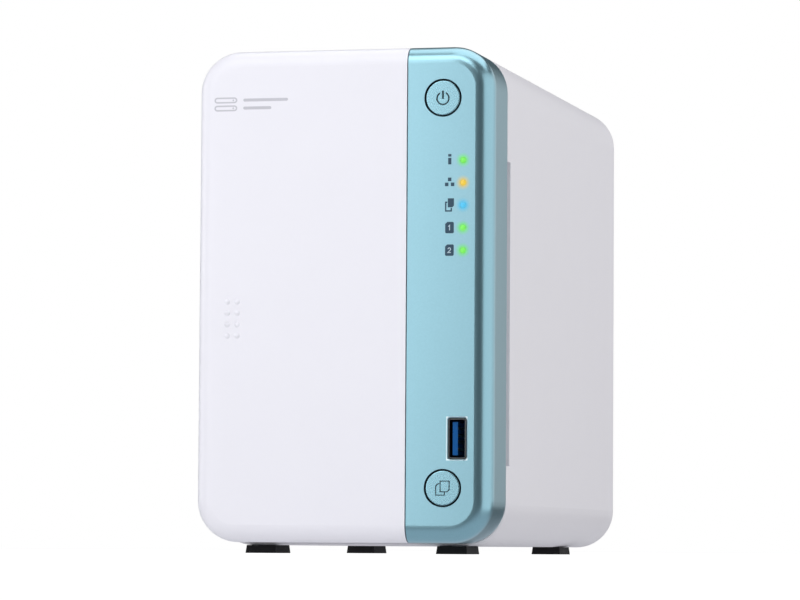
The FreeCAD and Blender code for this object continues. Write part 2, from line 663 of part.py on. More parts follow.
def drive_lid(centre_x):
    """The steel lid of a drive."""
    x0, x1 = drive_x(centre_x)
    z0 = BAY_MIDDLE_Z - DRIVE_TALL / 2 + 1.5
    z1 = BAY_MIDDLE_Z + DRIVE_TALL / 2 - 1.5
    y0 = DRIVE_FRONT_Y + 1.5
    y1 = DRIVE_FRONT_Y + DRIVE_DEEP - 1.5
    return rounded_block(x1 - 1.2, x1, y0, y1, z0, z1, 5.0, X_AXIS)


def drive_board(centre_x):
    """The circuit board on the other face of a drive."""
    x0, x1 = drive_x(centre_x)
    z0 = BAY_MIDDLE_Z - DRIVE_TALL / 2 + 8
    z1 = BAY_MIDDLE_Z + DRIVE_TALL / 2 - 8
    y1 = DRIVE_FRONT_Y + DRIVE_DEEP - 6
    return box(x0, x0 + 1.6, y1 - 78.0, y1, z0, z1)


def backplane_board():
    """The upright board behind the bays."""
    y0 = CAGE_REAR_Y
    board = box(-46.5, 18.5, y0, y0 + 1.6, 30.0, 140.0)
    cutters = [rod_y(x, z, 1.3, y0 - 1, y0 + 3) for x, z in BACKPLANE_SCREWS]
    for x in BAY_CENTRES_X:
        for z in (105.0, 121.0):
            cutters.append(rod_y(x, z, 6.0, y0 - 1, y0 + 3))
    return board.cut(cutters)


def sata_sockets():
    """The two drive sockets on the backplane, each with a tongue that enters its drive."""
    y_drive = DRIVE_FRONT_Y + DRIVE_DEEP
    sockets = []
    for centre_x in BAY_CENTRES_X:
        x0 = drive_x(centre_x)[0] + 4.0
        base = box(x0, x0 + 6.0, y_drive + 0.8, CAGE_REAR_Y, SATA_Z[0], SATA_Z[1])
        tongue = box(x0 + 1.5, x0 + 4.0, y_drive - 3.5, y_drive + 1.0, SATA_Z[0] + 1.5, SATA_Z[1] - 1.5)
        sockets.append(join([base, tongue]))
    return group(sockets)


def backplane_connector():
    """The connector that joins the backplane to the main board through the cage's side window."""
    link = box(15.0, BOARD_X[0], CAGE_REAR_Y + 1.6, CAGE_REAR_Y + 3.4, 64.0, 102.0)
    plug = box(18.9, BOARD_X[0], CAGE_REAR_Y - 6.0, CAGE_REAR_Y + 3.4, 64.0, 102.0)
    return join([link, plug])


# ---------------------------------------------------------------- fan

def fan_corners():
    """The four mounting hole places of the fan."""
    half = FAN_HOLE_SPACING / 2
    return [(FAN_AT[0] + sx * half, FAN_AT[1] + sz * half) for sx in (-1, 1) for sz in (-1, 1)]


def fan_frame():
    """The fan's square frame, with its bore, motor seat, struts and corner holes."""
    x, z = FAN_AT
    half = FAN_SIZE / 2
    y0, y1 = FAN_Y
    frame = rounded_block(x - half, x + half, y0, y1, z - half, z + half, 4.0)
    frame = frame.cut(rod_y(x, z, FAN_BORE_RADIUS, y0 - 1, y1 + 1))
    seat = rod_y(x, z, 12.0, y1 - 1.4, y1)
    struts = []
    for turn in (35, 155, 275):
        strut = box(x + 10, x + FAN_BORE_RADIUS + 1, y1 - 1.4, y1, z - 2.0, z + 2.0)
        strut.rotate(Vector(x, 0, z), Y_AXIS, turn)
        struts.append(strut)
    frame = join([frame, seat] + struts)
    cutters = [rod_y(cx, cz, 2.1, y0 - 1, y1 + 1) for cx, cz in fan_corners()]
    return frame.cut(cutters)


def fan_bearing():
    """The sleeve bearing in the fan's motor seat."""
    x, z = FAN_AT
    sleeve = rod_y(x, z, 3.4, FAN_Y[0] + 3.5, FAN_Y[1] - 1.4)
    return sleeve.cut(rod_y(x, z, SHAFT_RADIUS + SHAFT_CLEARANCE, FAN_Y[0], FAN_Y[1]))


def fan_shaft():
    """The steel shaft, pressed into the rotor's hub."""
    x, z = FAN_AT
    return rod_y(x, z, SHAFT_RADIUS, FAN_Y[0] + 1.0, FAN_Y[1] - 2.0)


def fan_blade(turn):
    """One pitched blade, from the hub out to the tip."""
    x, z = FAN_AT
    y_mid = FAN_Y[0] + 7.4
    wires = []
    for radius, chord, pitch in ((FAN_HUB_RADIUS - 1.5, 11.0, 50.0), (30.6, 19.0, 31.0)):
        along = Vector(0, math.sin(math.radians(pitch)), math.cos(math.radians(pitch))) * (chord / 2)
        across = Vector(0, math.cos(math.radians(pitch)), -math.sin(math.radians(pitch))) * 0.7
        centre = Vector(x + radius, y_mid, z)
        corners = [centre + along + across, centre - along + across,
                   centre - along - across, centre + along - across]
        wires.append(Part.makePolygon(corners + corners[:1]))
    blade = Part.makeLoft(wires, True, True)
    blade.rotate(Vector(x, 0, z), Y_AXIS, turn)
    return blade


def fan_rotor():
    """The hub cup and its blades."""
    x, z = FAN_AT
    hub = rod_y(x, z, FAN_HUB_RADIUS, FAN_Y[0] + 1.0, FAN_Y[1] - 2.4)
    blades = [fan_blade(index * 360 / FAN_BLADE_COUNT) for index in range(FAN_BLADE_COUNT)]
    rotor = join([hub] + blades)
    cavity = rod_y(x, z, FAN_HUB_RADIUS - 1.6, FAN_Y[0] + 3.0, FAN_Y[1])
    return rotor.cut([cavity, rod_y(x, z, SHAFT_RADIUS, FAN_Y[0], FAN_Y[1])])


def fan_guard():
    """The wire-like guard on the rear panel: rings joined by two bars."""
    x, z = FAN_AT
    y0 = PANEL_Y[1]
    y1 = y0 + 1.4
    parts = []
    for radius in (32.4, 26.2, 20.0, 13.8, 7.6):
        ring = rod_y(x, z, radius, y0, y1).cut(rod_y(x, z, radius - 1.5, y0 - 1, y1 + 1))
        parts.append(ring)
    for turn in (45, 135):
        bar = box(x - 42.0, x + 42.0, y0, y1, z - 0.9, z + 0.9)
        bar.rotate(Vector(x, 0, z), Y_AXIS, turn)
        parts.append(bar)
    for cx, cz in fan_corners():
        parts.append(rod_y(cx, cz, 3.1, y0, y1))
    guard = join(parts)
    return guard.cut([rod_y(cx, cz, 1.7, y0 - 1, y1 + 1) for cx, cz in fan_corners()])


def fan_screws():
    """Four screws through the guard and the rear panel into the fan's corners."""
    return group(pan_screw(cx, cz, PANEL_Y[1] + 1.4, 1, 1.6, 12.0) for cx, cz in fan_corners())


# ---------------------------------------------------------------- electronics

def main_board():
    """The main board, upright beside the cage."""
    board = box(BOARD_X[0], BOARD_X[1], BOARD_Y[0], BOARD_Y[1], BOARD_Z[0], BOARD_Z[1])
    holes = [rod_x(y, z, 1.6, BOARD_X[0] - 1, BOARD_X[1] + 1) for y, z in STANDOFFS]
    return board.cut(holes)


def board_standoffs():
    """The spacers between the cage's side and the main board."""
    return group(rod_x(y, z, 3.0, CAGE_X[1], BOARD_X[0]) for y, z in STANDOFFS)


def heat_sink():
    """The processor's finned heat sink."""
    x0 = BOARD_X[1]
    base = box(x0, x0 + 4.5, 2.0, 46.0, 72.0, 114.0)
    fins = []
    for index in range(11):
        z = 72.0 + index * 4.08
        fins.append(box(x0 + 4, x0 + 16.0, 2.0, 46.0, z, z + 1.2))
    return join([base] + fins)


def memory_socket(z0):
    """One memory socket, with the slot that its module stands in."""
    x0 = BOARD_X[1]
    body = box(x0, x0 + 5.2, -74.0, -4.0, z0, z0 + 7.0)
    return body.cut(box(x0 + 2.0, x0 + 3.2, -73.0, -5.0, z0 + 3.0, z0 + 8.0))


def memory_module(z0):
    """One memory module: a thin board with four chips on each side."""
    x0 = BOARD_X[1]
    card = box(x0 + 2.0, x0 + 3.2, -72.8, -5.2, z0 + 3.0, z0 + 32.0)
    chips = []
    for index in range(4):
        y = -70.0 + index * 16.5
        chips.append(box(x0 + 3.2, x0 + 4.3, y, y + 12.0, z0 + 12.0, z0 + 26.0))
    return join([card] + chips)


def coin_cell():
    """The clock's coin cell."""
    return rod_x(30.0, 40.0, 10.0, BOARD_X[1], BOARD_X[1] + 3.2)


def lan_jack():
    """The network jack: a shielded block with its opening to the rear and a latch notch."""
    x0 = BOARD_X[1]
    block = box(x0, x0 + 13.5, 84.5, 106.2, *LAN_Z)
    middle = (LAN_Z[0] + LAN_Z[1]) / 2
    mouth = box(x0 + 1.6, x0 + 8.6, 93.0, 107.0, middle - 5.9, middle + 5.9)
    latch = box(x0 + 8.0, x0 + 11.4, 93.0, 107.0, middle - 3.0, middle + 3.0)
    return block.cut([mouth, latch])


def rear_usb_shell():
    """The shell of the two stacked rear USB sockets."""
    x0 = BOARD_X[1]
    block = box(x0, x0 + 15.6, 88.0, 106.2, *USB_STACK_Z)
    z0 = USB_STACK_Z[0] + 0.8
    z1 = USB_STACK_Z[1] - 0.8
    return block.cut([box(x0 + shift, x0 + shift + 5.6, 95.0, 107.0, z0, z1) for shift in USB_STACK_SHIFTS])


def rear_usb_tongues():
    """The two tongues inside the rear USB sockets."""
    x0 = BOARD_X[1]
    return group(box(x0 + shift + 1.2, x0 + shift + 3.0, 95.0, 105.0,
                     USB_STACK_Z[0] + 1.8, USB_STACK_Z[1] - 1.8) for shift in USB_STACK_SHIFTS)


def hdmi_port():
    """The video port, with its chamfered mouth and inner tongue."""
    x0 = BOARD_X[1]
    block = box(x0, x0 + 6.0, 94.0, 106.2, *HDMI_Z)
    low, high = HDMI_Z
    outline = ((x0 + 0.6, low + 2.2), (x0 + 2.4, low + 0.5), (x0 + 5.4, low + 0.5),
               (x0 + 5.4, high - 0.5), (x0 + 2.4, high - 0.5), (x0 + 0.6, high - 2.2))
    mouth = prism_y(outline, 97.0, 107.0)
    tongue = box(x0 + 2.2, x0 + 3.6, 96.5, 105.0, low + 2.5, high - 2.5)
    return join([block.cut(mouth), tongue])


def power_jack():
    """The power inlet: a block with a round bore and a centre pin."""
    x0 = BOARD_X[1]
    block = box(x0, x0 + 10.5, 93.0, 106.2, *POWER_JACK_Z)
    x = x0 + 5.25
    z = (POWER_JACK_Z[0] + POWER_JACK_Z[1]) / 2
    block = block.cut(rod_y(x, z, 3.2, 96.0, 107.0))
    return join([block, rod_y(x, z, 1.0, 95.5, 104.6)])


def expansion_slot():
    """The card slot on the main board."""
    x0 = BOARD_X[1]
    body = box(x0, x0 + 11.0, 40.0, 79.0, 118.0, 125.5)
    return body.cut(box(x0 + 2.5, x0 + 12.0, 42.0, 77.0, 121.0, 122.6))


def expansion_cover():
    """The blank plate over the rear card opening."""
    plate = rounded_block(COVER_X[0], COVER_X[1], PANEL_Y[1], PANEL_Y[1] + 0.9, COVER_Z[0], COVER_Z[1], 1.0)
    return plate.cut([rod_y(x, z, 1.6, PANEL_Y[1] - 1, PANEL_Y[1] + 2) for x, z in COVER_SCREWS])


def rear_panel():
    """The steel rear panel, with the fan opening and one opening for each port."""
    panel = body_section(WALL + 0.2, *PANEL_Y)
    x, z = FAN_AT
    low = PANEL_Y[0] - 1
    high = PANEL_Y[1] + 1
    x0 = BOARD_X[1]
    gap = 0.3
    cutters = [rod_y(x, z, FAN_BORE_RADIUS - 1, low, high)]
    cutters += [rod_y(cx, cz, 1.7, low, high) for cx, cz in fan_corners()]
    cutters += [rod_y(cx, cz, 1.6, low, high) for cx, cz in PANEL_SCREWS]
    cutters += [rod_y(cx, cz, 1.5, low, high) for cx, cz in COVER_SCREWS]
    ports = ((13.5, LAN_Z), (15.6, USB_STACK_Z), (6.0, HDMI_Z), (10.5, POWER_JACK_Z))
    for reach, heights in ports:
        cutters.append(box(x0 - gap, x0 + reach + gap, low, high, heights[0] - gap, heights[1] + gap))
    cutters.append(rod_y(RESET_AT[0], RESET_AT[1], 1.1, low, high))
    cutters.append(box(28.5, 40.9, low, high, 90.5, 145.5))
    cutters.append(box(LOCK_AT[0] - 3.5, LOCK_AT[0] + 3.5, low, high, LOCK_AT[1] - 1.5, LOCK_AT[1] + 1.5))
    for column in range(9):
        for row in range(3):
            for base in (27.0, 130.0):
                cutters.append(box(-38.0 + column * 6.5, -34.0 + column * 6.5, low, high,
                                   base + row * 6.0, base + row * 6.0 + 3.0))
    return panel.cut(cutters)


def rear_panel_screws():
    """Four screws into the case's bosses and two that hold the card opening's cover."""
    screws = [pan_screw(x, z, PANEL_Y[1], 1, 1.5, 7.0) for x, z in PANEL_SCREWS]
    screws += [pan_screw(x, z, PANEL_Y[1] + 0.9, 1, 1.45, 4.0) for x, z in COVER_SCREWS]
    return group(screws)


def cage_screws():
    """Screws that fix the cage to the bezel and the backplane to the cage."""
    screws = [pan_screw(x, z, CAGE_FRONT_Y + SHEET, 1, 1.45, 3.4) for x, z in CAGE_SCREWS]
    screws += [pan_screw(x, z, CAGE_REAR_Y + 1.6, 1, 1.25, 4.0) for x, z in BACKPLANE_SCREWS]
    return group(screws)


def strip_screws():
    """Screws from behind the bezel into the strip's bosses."""
    return group(pan_screw(x, z, BEZEL_BACK_Y, 1, 1.25, 9.0) for x, z in STRIP_SCREWS)


def all_parts():
    """Every sub-part by node name."""
    block = front_block()
    skin = front_skin(block)
    parts = {
        "case_shell": case_shell(),
        "bay_cover": bay_cover(skin),
        "control_strip": control_strip(block, skin),
        "front_bezel": front_bezel(),
        "power_button": power_button(),
        "copy_button": copy_button(),
        "power_plunger": button_plunger(POWER_AT),
        "copy_plunger": button_plunger(COPY_AT),
        "reset_button": reset_button(),
        "switch_bodies": group([switch_body(*POWER_AT), switch_body(*COPY_AT), reset_switch_body()]),
        "light_pipe": light_pipe(),
        "status_leds": status_leds(),
        "front_board": front_board(),
        "front_board_cable": front_board_cable(),
        "front_usb_shell": front_usb_shell(),
        "front_usb_tongue": front_usb_tongue(),
        "front_usb_contacts": front_usb_contacts(),
        "rubber_feet": rubber_feet(),
        "drive_cage": drive_cage(),
        "backplane_board": backplane_board(),
        "sata_sockets": sata_sockets(),
        "backplane_connector": backplane_connector(),
        "fan_frame": fan_frame(),
        "fan_bearing": fan_bearing(),
        "fan_shaft": fan_shaft(),
        "fan_rotor": fan_rotor(),
        "fan_guard": fan_guard(),
        "fan_screws": fan_screws(),
        "main_board": main_board(),
        "board_standoffs": board_standoffs(),
        "heat_sink": heat_sink(),
        "memory_sockets": group([memory_socket(z) for z in MEMORY_Z]),
        "memory_modules": group([memory_module(z) for z in MEMORY_Z]),
        "coin_cell": coin_cell(),
        "lan_jack": lan_jack(),
        "rear_usb_shell": rear_usb_shell(),
        "rear_usb_tongues": rear_usb_tongues(),
        "hdmi_port": hdmi_port(),
        "power_jack": power_jack(),
        "expansion_slot": expansion_slot(),
        "expansion_cover": expansion_cover(),
        "rear_panel": rear_panel(),
        "rear_panel_screws": rear_panel_screws(),
        "cage_screws": cage_screws(),
        "strip_screws": strip_screws(),
    }
    for number, centre_x in enumerate(BAY_CENTRES_X, start=1):
        parts["tray_%d" % number] = tray(centre_x)
        parts["tray_%d_lever" % number] = tray_lever(centre_x)
        parts["tray_%d_lever_pin" % number] = lever_pin(centre_x)
        parts["tray_%d_clips" % number] = drive_clips(centre_x)
        parts["hard_drive_%d" % number] = hard_drive(centre_x)
        parts["hard_drive_%d_lid" % number] = drive_lid(centre_x)
        parts["hard_drive_%d_board" % number] = drive_board(centre_x)
    return parts


os.makedirs("parts", exist_ok=True)
for name, shape in all_parts().items():
    shape.exportStep("parts/" + name + ".step")
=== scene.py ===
import json
import math

import bmesh
import bpy
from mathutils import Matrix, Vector


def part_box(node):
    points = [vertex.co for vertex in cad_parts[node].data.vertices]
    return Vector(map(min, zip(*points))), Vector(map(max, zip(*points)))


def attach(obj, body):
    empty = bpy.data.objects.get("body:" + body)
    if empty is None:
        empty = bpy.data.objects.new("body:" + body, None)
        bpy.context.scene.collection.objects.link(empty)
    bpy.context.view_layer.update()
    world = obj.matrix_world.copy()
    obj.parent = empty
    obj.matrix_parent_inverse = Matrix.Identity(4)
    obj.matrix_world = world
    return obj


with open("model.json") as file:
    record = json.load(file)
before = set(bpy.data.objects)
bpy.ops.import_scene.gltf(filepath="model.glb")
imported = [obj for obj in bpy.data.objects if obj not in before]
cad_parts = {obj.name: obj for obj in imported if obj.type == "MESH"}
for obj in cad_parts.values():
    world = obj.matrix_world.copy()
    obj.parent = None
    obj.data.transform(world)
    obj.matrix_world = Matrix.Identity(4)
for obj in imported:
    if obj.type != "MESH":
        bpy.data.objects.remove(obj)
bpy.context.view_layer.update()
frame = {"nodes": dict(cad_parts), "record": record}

MM = 0.001
NODES = frame["nodes"]

FORWARD = Vector((0, -1, 0))
BACKWARD = Vector((0, 1, 0))
RIGHTWARD = Vector((1, 0, 0))

LAMP_COUNT = 5
HALO_REACH = 2.7 * MM  # how far a lamp lights the paint round it, from the lamp's middle
HALO_CORE = 0.8 * MM
LAMP_EDGE = 2.0 * MM  # from the end of the light pipe node to the middle of its outermost lamp
BUTTON_GAP_EDGE = 6.5 * MM  # radius of a button's hole in the strip
SOCKET_EDGE = 0.62 * MM  # from the USB shell to the outer edge of the chamfer round it

GREEN = (0.20, 1.0, 0.09)
AMBER = (1.0, 0.68, 0.03)
CYAN = (0.05, 0.62, 1.0)
LAMP_COLOURS = (GREEN, AMBER, CYAN, GREEN, GREEN)

# The teal paint's shader sockets, the size of its flakes and the painted shade inside its gaps (button holes
# and button sides).
TEAL = {"metallic": 0.9, "Specular_IOR_Level": 0.1, "Coat_Weight": 0.5, "Coat_Roughness": 0.3}
FLAKE = 0.45 * MM
GAP_SHADE = (0.004, 0.02, 0.028, 1.0)

WHITE = (1.0, 1.0, 1.0, 1.0)
BLACK = (0.0, 0.0, 0.0, 1.0)

# The camera: it stands near the floor, to the right of the front, and looks slightly up.
CAMERA_AIM = Vector((0.01984, -0.1091, 0.08423))
CAMERA_DISTANCE = 1.34877
CAMERA_YAW = math.radians(13.843)
CAMERA_PITCH = math.radians(3.517)
CAMERA_ROLL = math.radians(0.358)
LENS_MM = 182.63
SENSOR_MM = 36.0


# ---------------------------------------------------------------- material helpers

class Finish:
    """A Principled material, with short ways to add grain, colour change and relief in object space."""

    def __init__(self, name, colour, roughness, metallic=0.0, **sockets):
        self.material = bpy.data.materials.new(name)
        self.material.use_nodes = True
        self.tree = self.material.node_tree
        self.shader = self.tree.nodes["Principled BSDF"]
        self.colour = (*colour, 1.0)
        self.set("Base Color", self.colour)
        self.set("Roughness", roughness)
        self.set("Metallic", metallic)
        for socket, value in sockets.items():
            self.set(socket.replace("_", " "), value)
        self.place = self.tree.nodes.new("ShaderNodeTexCoord").outputs["Object"]

    def set(self, socket, value):
        self.shader.inputs[socket].default_value = value

    def node(self, kind, **properties):
        made = self.tree.nodes.new("ShaderNode" + kind)
        for name, value in properties.items():
            setattr(made, name, value)
        return made

    def link(self, source, target):
        self.tree.links.new(source, target)

    def stretched(self, scale):
        """The object's own coordinates, stretched by a factor along each axis."""
        mapping = self.node("Mapping")
        mapping.inputs["Scale"].default_value = scale
        self.link(self.place, mapping.inputs["Vector"])
        return mapping.outputs["Vector"]

    def noise(self, size, detail=2.0, stretch=(1.0, 1.0, 1.0)):
        """Noise whose lumps are about size metres across."""
        texture = self.node("TexNoise")
        texture.inputs["Scale"].default_value = 1.0 / size
        texture.inputs["Detail"].default_value = detail
        self.link(self.stretched(stretch), texture.inputs["Vector"])
        return texture.outputs["Fac"]

    def ramp(self, source, stops):
        """A colour for each value of source, from a list of (place, colour)."""
        ramp = self.node("ValToRGB")
        ramp.color_ramp.elements[0].position = stops[0][0]
        ramp.color_ramp.elements[0].color = stops[0][1]
        ramp.color_ramp.elements[1].position = stops[-1][0]
        ramp.color_ramp.elements[1].color = stops[-1][1]
        for position, colour in stops[1:-1]:
            ramp.color_ramp.elements.new(position).color = colour
        self.link(source, ramp.inputs["Fac"])
        return ramp.outputs["Color"]

    def range(self, source, low, high, target_low=0.0, target_high=1.0):
        """Maps low..high of source to a new range, held at its ends."""
        mapped = self.node("MapRange")
        ends = {"From Min": low, "From Max": high, "To Min": target_low, "To Max": target_high}
        for name, value in ends.items():
            mapped.inputs[name].default_value = value
        self.link(source, mapped.inputs["Value"])
        return mapped.outputs["Result"]

    def math(self, operation, first, second=None):
        made = self.node("Math", operation=operation)
        for value, socket in zip((first, second), made.inputs):
            if isinstance(value, (int, float)):
                socket.default_value = value
            elif value is not None:
                self.link(value, socket)
        return made.outputs["Value"]

    def mix(self, factor, first, second):
        made = self.node("Mix", data_type="RGBA")
        for value, socket in zip((factor, first, second), (made.inputs[0], made.inputs[6], made.inputs[7])):
            if isinstance(value, (int, float, tuple)):
                socket.default_value = value
            else:
                self.link(value, socket)
        return made.outputs[2]

    def tint(self, factor, low, high):
        """The base colour, a little darker or lighter with factor."""
        dark = (*(c * low for c in self.colour[:3]), 1.0)
        light = (*(min(1.0, c * high) for c in self.colour[:3]), 1.0)
        return self.mix(factor, dark, light)

    def flakes(self, spread):
        """The base colour with the teal paint's metal flakes."""
        factor = self.range(self.noise(FLAKE, 1.0), 0.3, 0.7)
        return self.tint(factor, 1 - spread, 1 + spread)

    def distance(self, source, place):
        made = self.node("VectorMath", operation="DISTANCE")
        self.link(source, made.inputs[0])
        made.inputs[1].default_value = place
        return made.outputs["Value"]

    def axes(self):
        """A node with the object's own X, Y and Z as outputs."""
        made = self.node("SeparateXYZ")
        self.link(self.place, made.inputs["Vector"])
        return made

    def behind_front(self, axes, start, end, full=1.0):
        """From 0 at start to full at end, both in millimetres behind the flat front."""
        return self.range(axes.outputs["Y"], front_face() + start * MM, front_face() + end * MM, 0.0, full)

    def grain(self, size, spread, detail=2.0, stretch=(1.0, 1.0, 1.0)):
        """Colour change of plus and minus spread, in lumps of size metres."""
        factor = self.range(self.noise(size, detail, stretch), 0.3, 0.7)
        colour = self.tint(factor, 1 - spread, 1 + spread)
        self.link(colour, self.shader.inputs["Base Color"])
        return self

    def uneven_gloss(self, size, low, high, stretch=(1.0, 1.0, 1.0)):
        """Roughness from low to high in soft patches of size metres."""
        patches = self.range(self.noise(size, 3.0, stretch), 0.3, 0.7, low, high)
        self.link(patches, self.shader.inputs["Roughness"])
        return self

    def relief(self, size, height, stretch=(1.0, 1.0, 1.0)):
        """A fine surface texture of the given lump size and height, both in metres."""
        bump = self.node("Bump")
        bump.inputs["Distance"].default_value = height
        bump.inputs["Strength"].default_value = 1.0
        self.link(self.noise(size, 2.0, stretch), bump.inputs["Height"])
        self.link(bump.outputs["Normal"], self.shader.inputs["Normal"])
        return self


def moulded(name, colour, roughness, grain=0.02, texture=0.0003, height=0.00001, patches=0.03, **sockets):
    """Moulded plastic: a fine spark texture, patches of slightly different gloss and a faint colour drift."""
    finish = Finish(name, colour, roughness, **sockets)
    finish.grain(0.02, grain)
    finish.uneven_gloss(0.012, roughness - patches, roughness + patches)
    return finish.relief(texture, height)


def plated(name, colour, roughness, stretch, grain=0.05, size=0.0004):
    """Plated or brushed metal: short streaks along one direction, in colour, gloss and relief."""
    finish = Finish(name, colour, roughness, metallic=1.0)
    finish.grain(size, grain, 3.0, stretch)
    finish.uneven_gloss(size * 4, roughness - 0.06, roughness + 0.08, stretch)
    return finish.relief(size, 0.00001, stretch)


def lamp_places():
    """Centre of each status lamp on the front face, top to bottom."""
    low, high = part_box("light_pipe")
    middle_x = (low.x + high.x) / 2
    first = high.z - LAMP_EDGE
    pitch = (high.z - low.z - 2 * LAMP_EDGE) / (LAMP_COUNT - 1)
    return [Vector((middle_x, front_face(), first - pitch * row)) for row in range(LAMP_COUNT)]


def front_face():
    """The Y of the flat front that the strip and the cover share."""
    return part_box("control_strip")[0].y


def button_middle(node):
    """The middle of a round button, on the front face."""
    low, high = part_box(node)
    return Vector(((low.x + high.x) / 2, front_face(), (low.z + high.z) / 2))


def socket_chamfer_highlight(finish, axes):
    """A mask for the outer half of the chamfer round the front USB opening, from 0 to 1, where a highlight is
    painted.
    """
    low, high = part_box("front_usb_shell")
    beyond = []
    for axis, start, end in (("X", low.x, high.x), ("Z", low.z, high.z)):
        offset = finish.math("SUBTRACT", axes.outputs[axis], (start + end) / 2)
        beyond.append(finish.math("SUBTRACT", finish.math("ABSOLUTE", offset), (end - start) / 2))
    near = finish.range(finish.math("MAXIMUM", *beyond), SOCKET_EDGE + 0.06 * MM, SOCKET_EDGE)
    return finish.math("MULTIPLY", near, finish.behind_front(axes, 0.26, 0.18))


def strip_paint():
    """Teal paint with fine metal flakes, with painted shade in the button holes and a soft painted glow round
    each lamp.

    The outer half of the chamfer round the USB opening has a painted highlight.
    """
    finish = Finish("strip_teal", (0.24, 0.438, 0.515), 0.27, **TEAL)
    paint = finish.flakes(0.02)
    axes = finish.axes()
    behind_face = finish.behind_front(axes, 0.03, 0.12)
    flat = finish.node("CombineXYZ")
    finish.link(axes.outputs["X"], flat.inputs["X"])
    finish.link(axes.outputs["Z"], flat.inputs["Z"])
    # Painted shade: the paint turns near black inside each button's hole, behind the flat front.
    for node in ("power_button", "copy_button"):
        middle = button_middle(node)
        reach = finish.distance(flat.outputs["Vector"], (middle.x, 0.0, middle.z))
        in_hole = finish.range(reach, BUTTON_GAP_EDGE + 0.1 * MM, BUTTON_GAP_EDGE)
        paint = finish.mix(finish.math("MULTIPLY", in_hole, behind_face), paint, GAP_SHADE)
    # Painted highlight: pale blue-white on the outer half of the chamfer round the USB opening.
    paint = finish.mix(socket_chamfer_highlight(finish, axes), paint, (0.70, 0.83, 0.87, 1.0))
    glow = BLACK
    # Painted glow: round each lamp the paint is tinted and made to glow in the lamp's colour, for the lamp's
    # light falling on it.
    for place, colour in zip(lamp_places(), LAMP_COLOURS):
        near = finish.range(finish.distance(finish.place, place), HALO_REACH, HALO_CORE)
        near = finish.math("POWER", near, 1.5)
        paint = finish.mix(finish.math("MULTIPLY", near, 0.95), paint, (*(0.55 * c for c in colour), 1.0))
        glow = finish.mix(near, glow, (*colour, 1.0))
    finish.link(paint, finish.shader.inputs["Base Color"])
    finish.link(glow, finish.shader.inputs["Emission Color"])
    finish.set("Emission Strength", 0.12)
    finish.uneven_gloss(0.0005, 0.28, 0.295)
    return finish.relief(0.0004, 0.0000005)


def button_paint():
    """The strip's paint on a button, with painted shade: dark on its sides and in its engraved sign."""
    finish = Finish("button_teal", (0.225, 0.42, 0.495), 0.28, **TEAL)
    axes = finish.axes()
    # Painted shade: the sign's grooves and the button's sides darken with depth behind the flat front.
    engraved = finish.behind_front(axes, 0.16, 0.3, 0.95)
    side = finish.behind_front(axes, 0.2, 0.4)
    paint = finish.mix(engraved, finish.flakes(0.03), (0.03, 0.10, 0.125, 1.0))
    paint = finish.mix(side, paint, GAP_SHADE)
    finish.link(paint, finish.shader.inputs["Base Color"])
    finish.uneven_gloss(0.0005, 0.25, 0.28)
    return finish.relief(0.0004, 0.0000005)


def lens(name, colour):
    """A lit lamp lens: bright in the middle, deeper in colour at its edge."""
    finish = Finish(name, tuple(0.45 * c for c in colour), 0.3)
    finish.grain(0.0006, 0.05)
    facing = finish.node("LayerWeight").outputs["Facing"]
    pale = tuple(0.1 + 0.9 * c for c in colour)
    rim = tuple(0.5 * c for c in colour)
    glow = finish.ramp(facing, [(0.0, (*pale, 1.0)), (0.35, (*colour, 1.0)), (0.8, (*rim, 1.0))])
    finish.link(glow, finish.shader.inputs["Emission Color"])
    finish.set("Emission Strength", 0.42)
    return finish


def board_finish():
    """Green solder mask over copper: narrow tracks show through as paler lines."""
    finish = Finish("board_green", (0.012, 0.13, 0.06), 0.35, Coat_Weight=0.3, Coat_Roughness=0.15)
    tracks = finish.node("TexBrick")
    tracks.inputs["Scale"].default_value = 260.0
    tracks.inputs["Mortar Size"].default_value = 0.05
    tracks.inputs["Color1"].default_value = (0.012, 0.13, 0.06, 1.0)
    tracks.inputs["Color2"].default_value = (0.016, 0.16, 0.075, 1.0)
    tracks.inputs["Mortar"].default_value = (0.03, 0.27, 0.13, 1.0)
    turned = finish.node("Mapping")
    turned.inputs["Rotation"].default_value = (math.radians(90), 0.0, math.radians(90))
    finish.link(finish.place, turned.inputs["Vector"])
    finish.link(turned.outputs["Vector"], tracks.inputs["Vector"])
    finish.link(tracks.outputs["Color"], finish.shader.inputs["Base Color"])
    return finish.relief(0.0005, 0.00001)


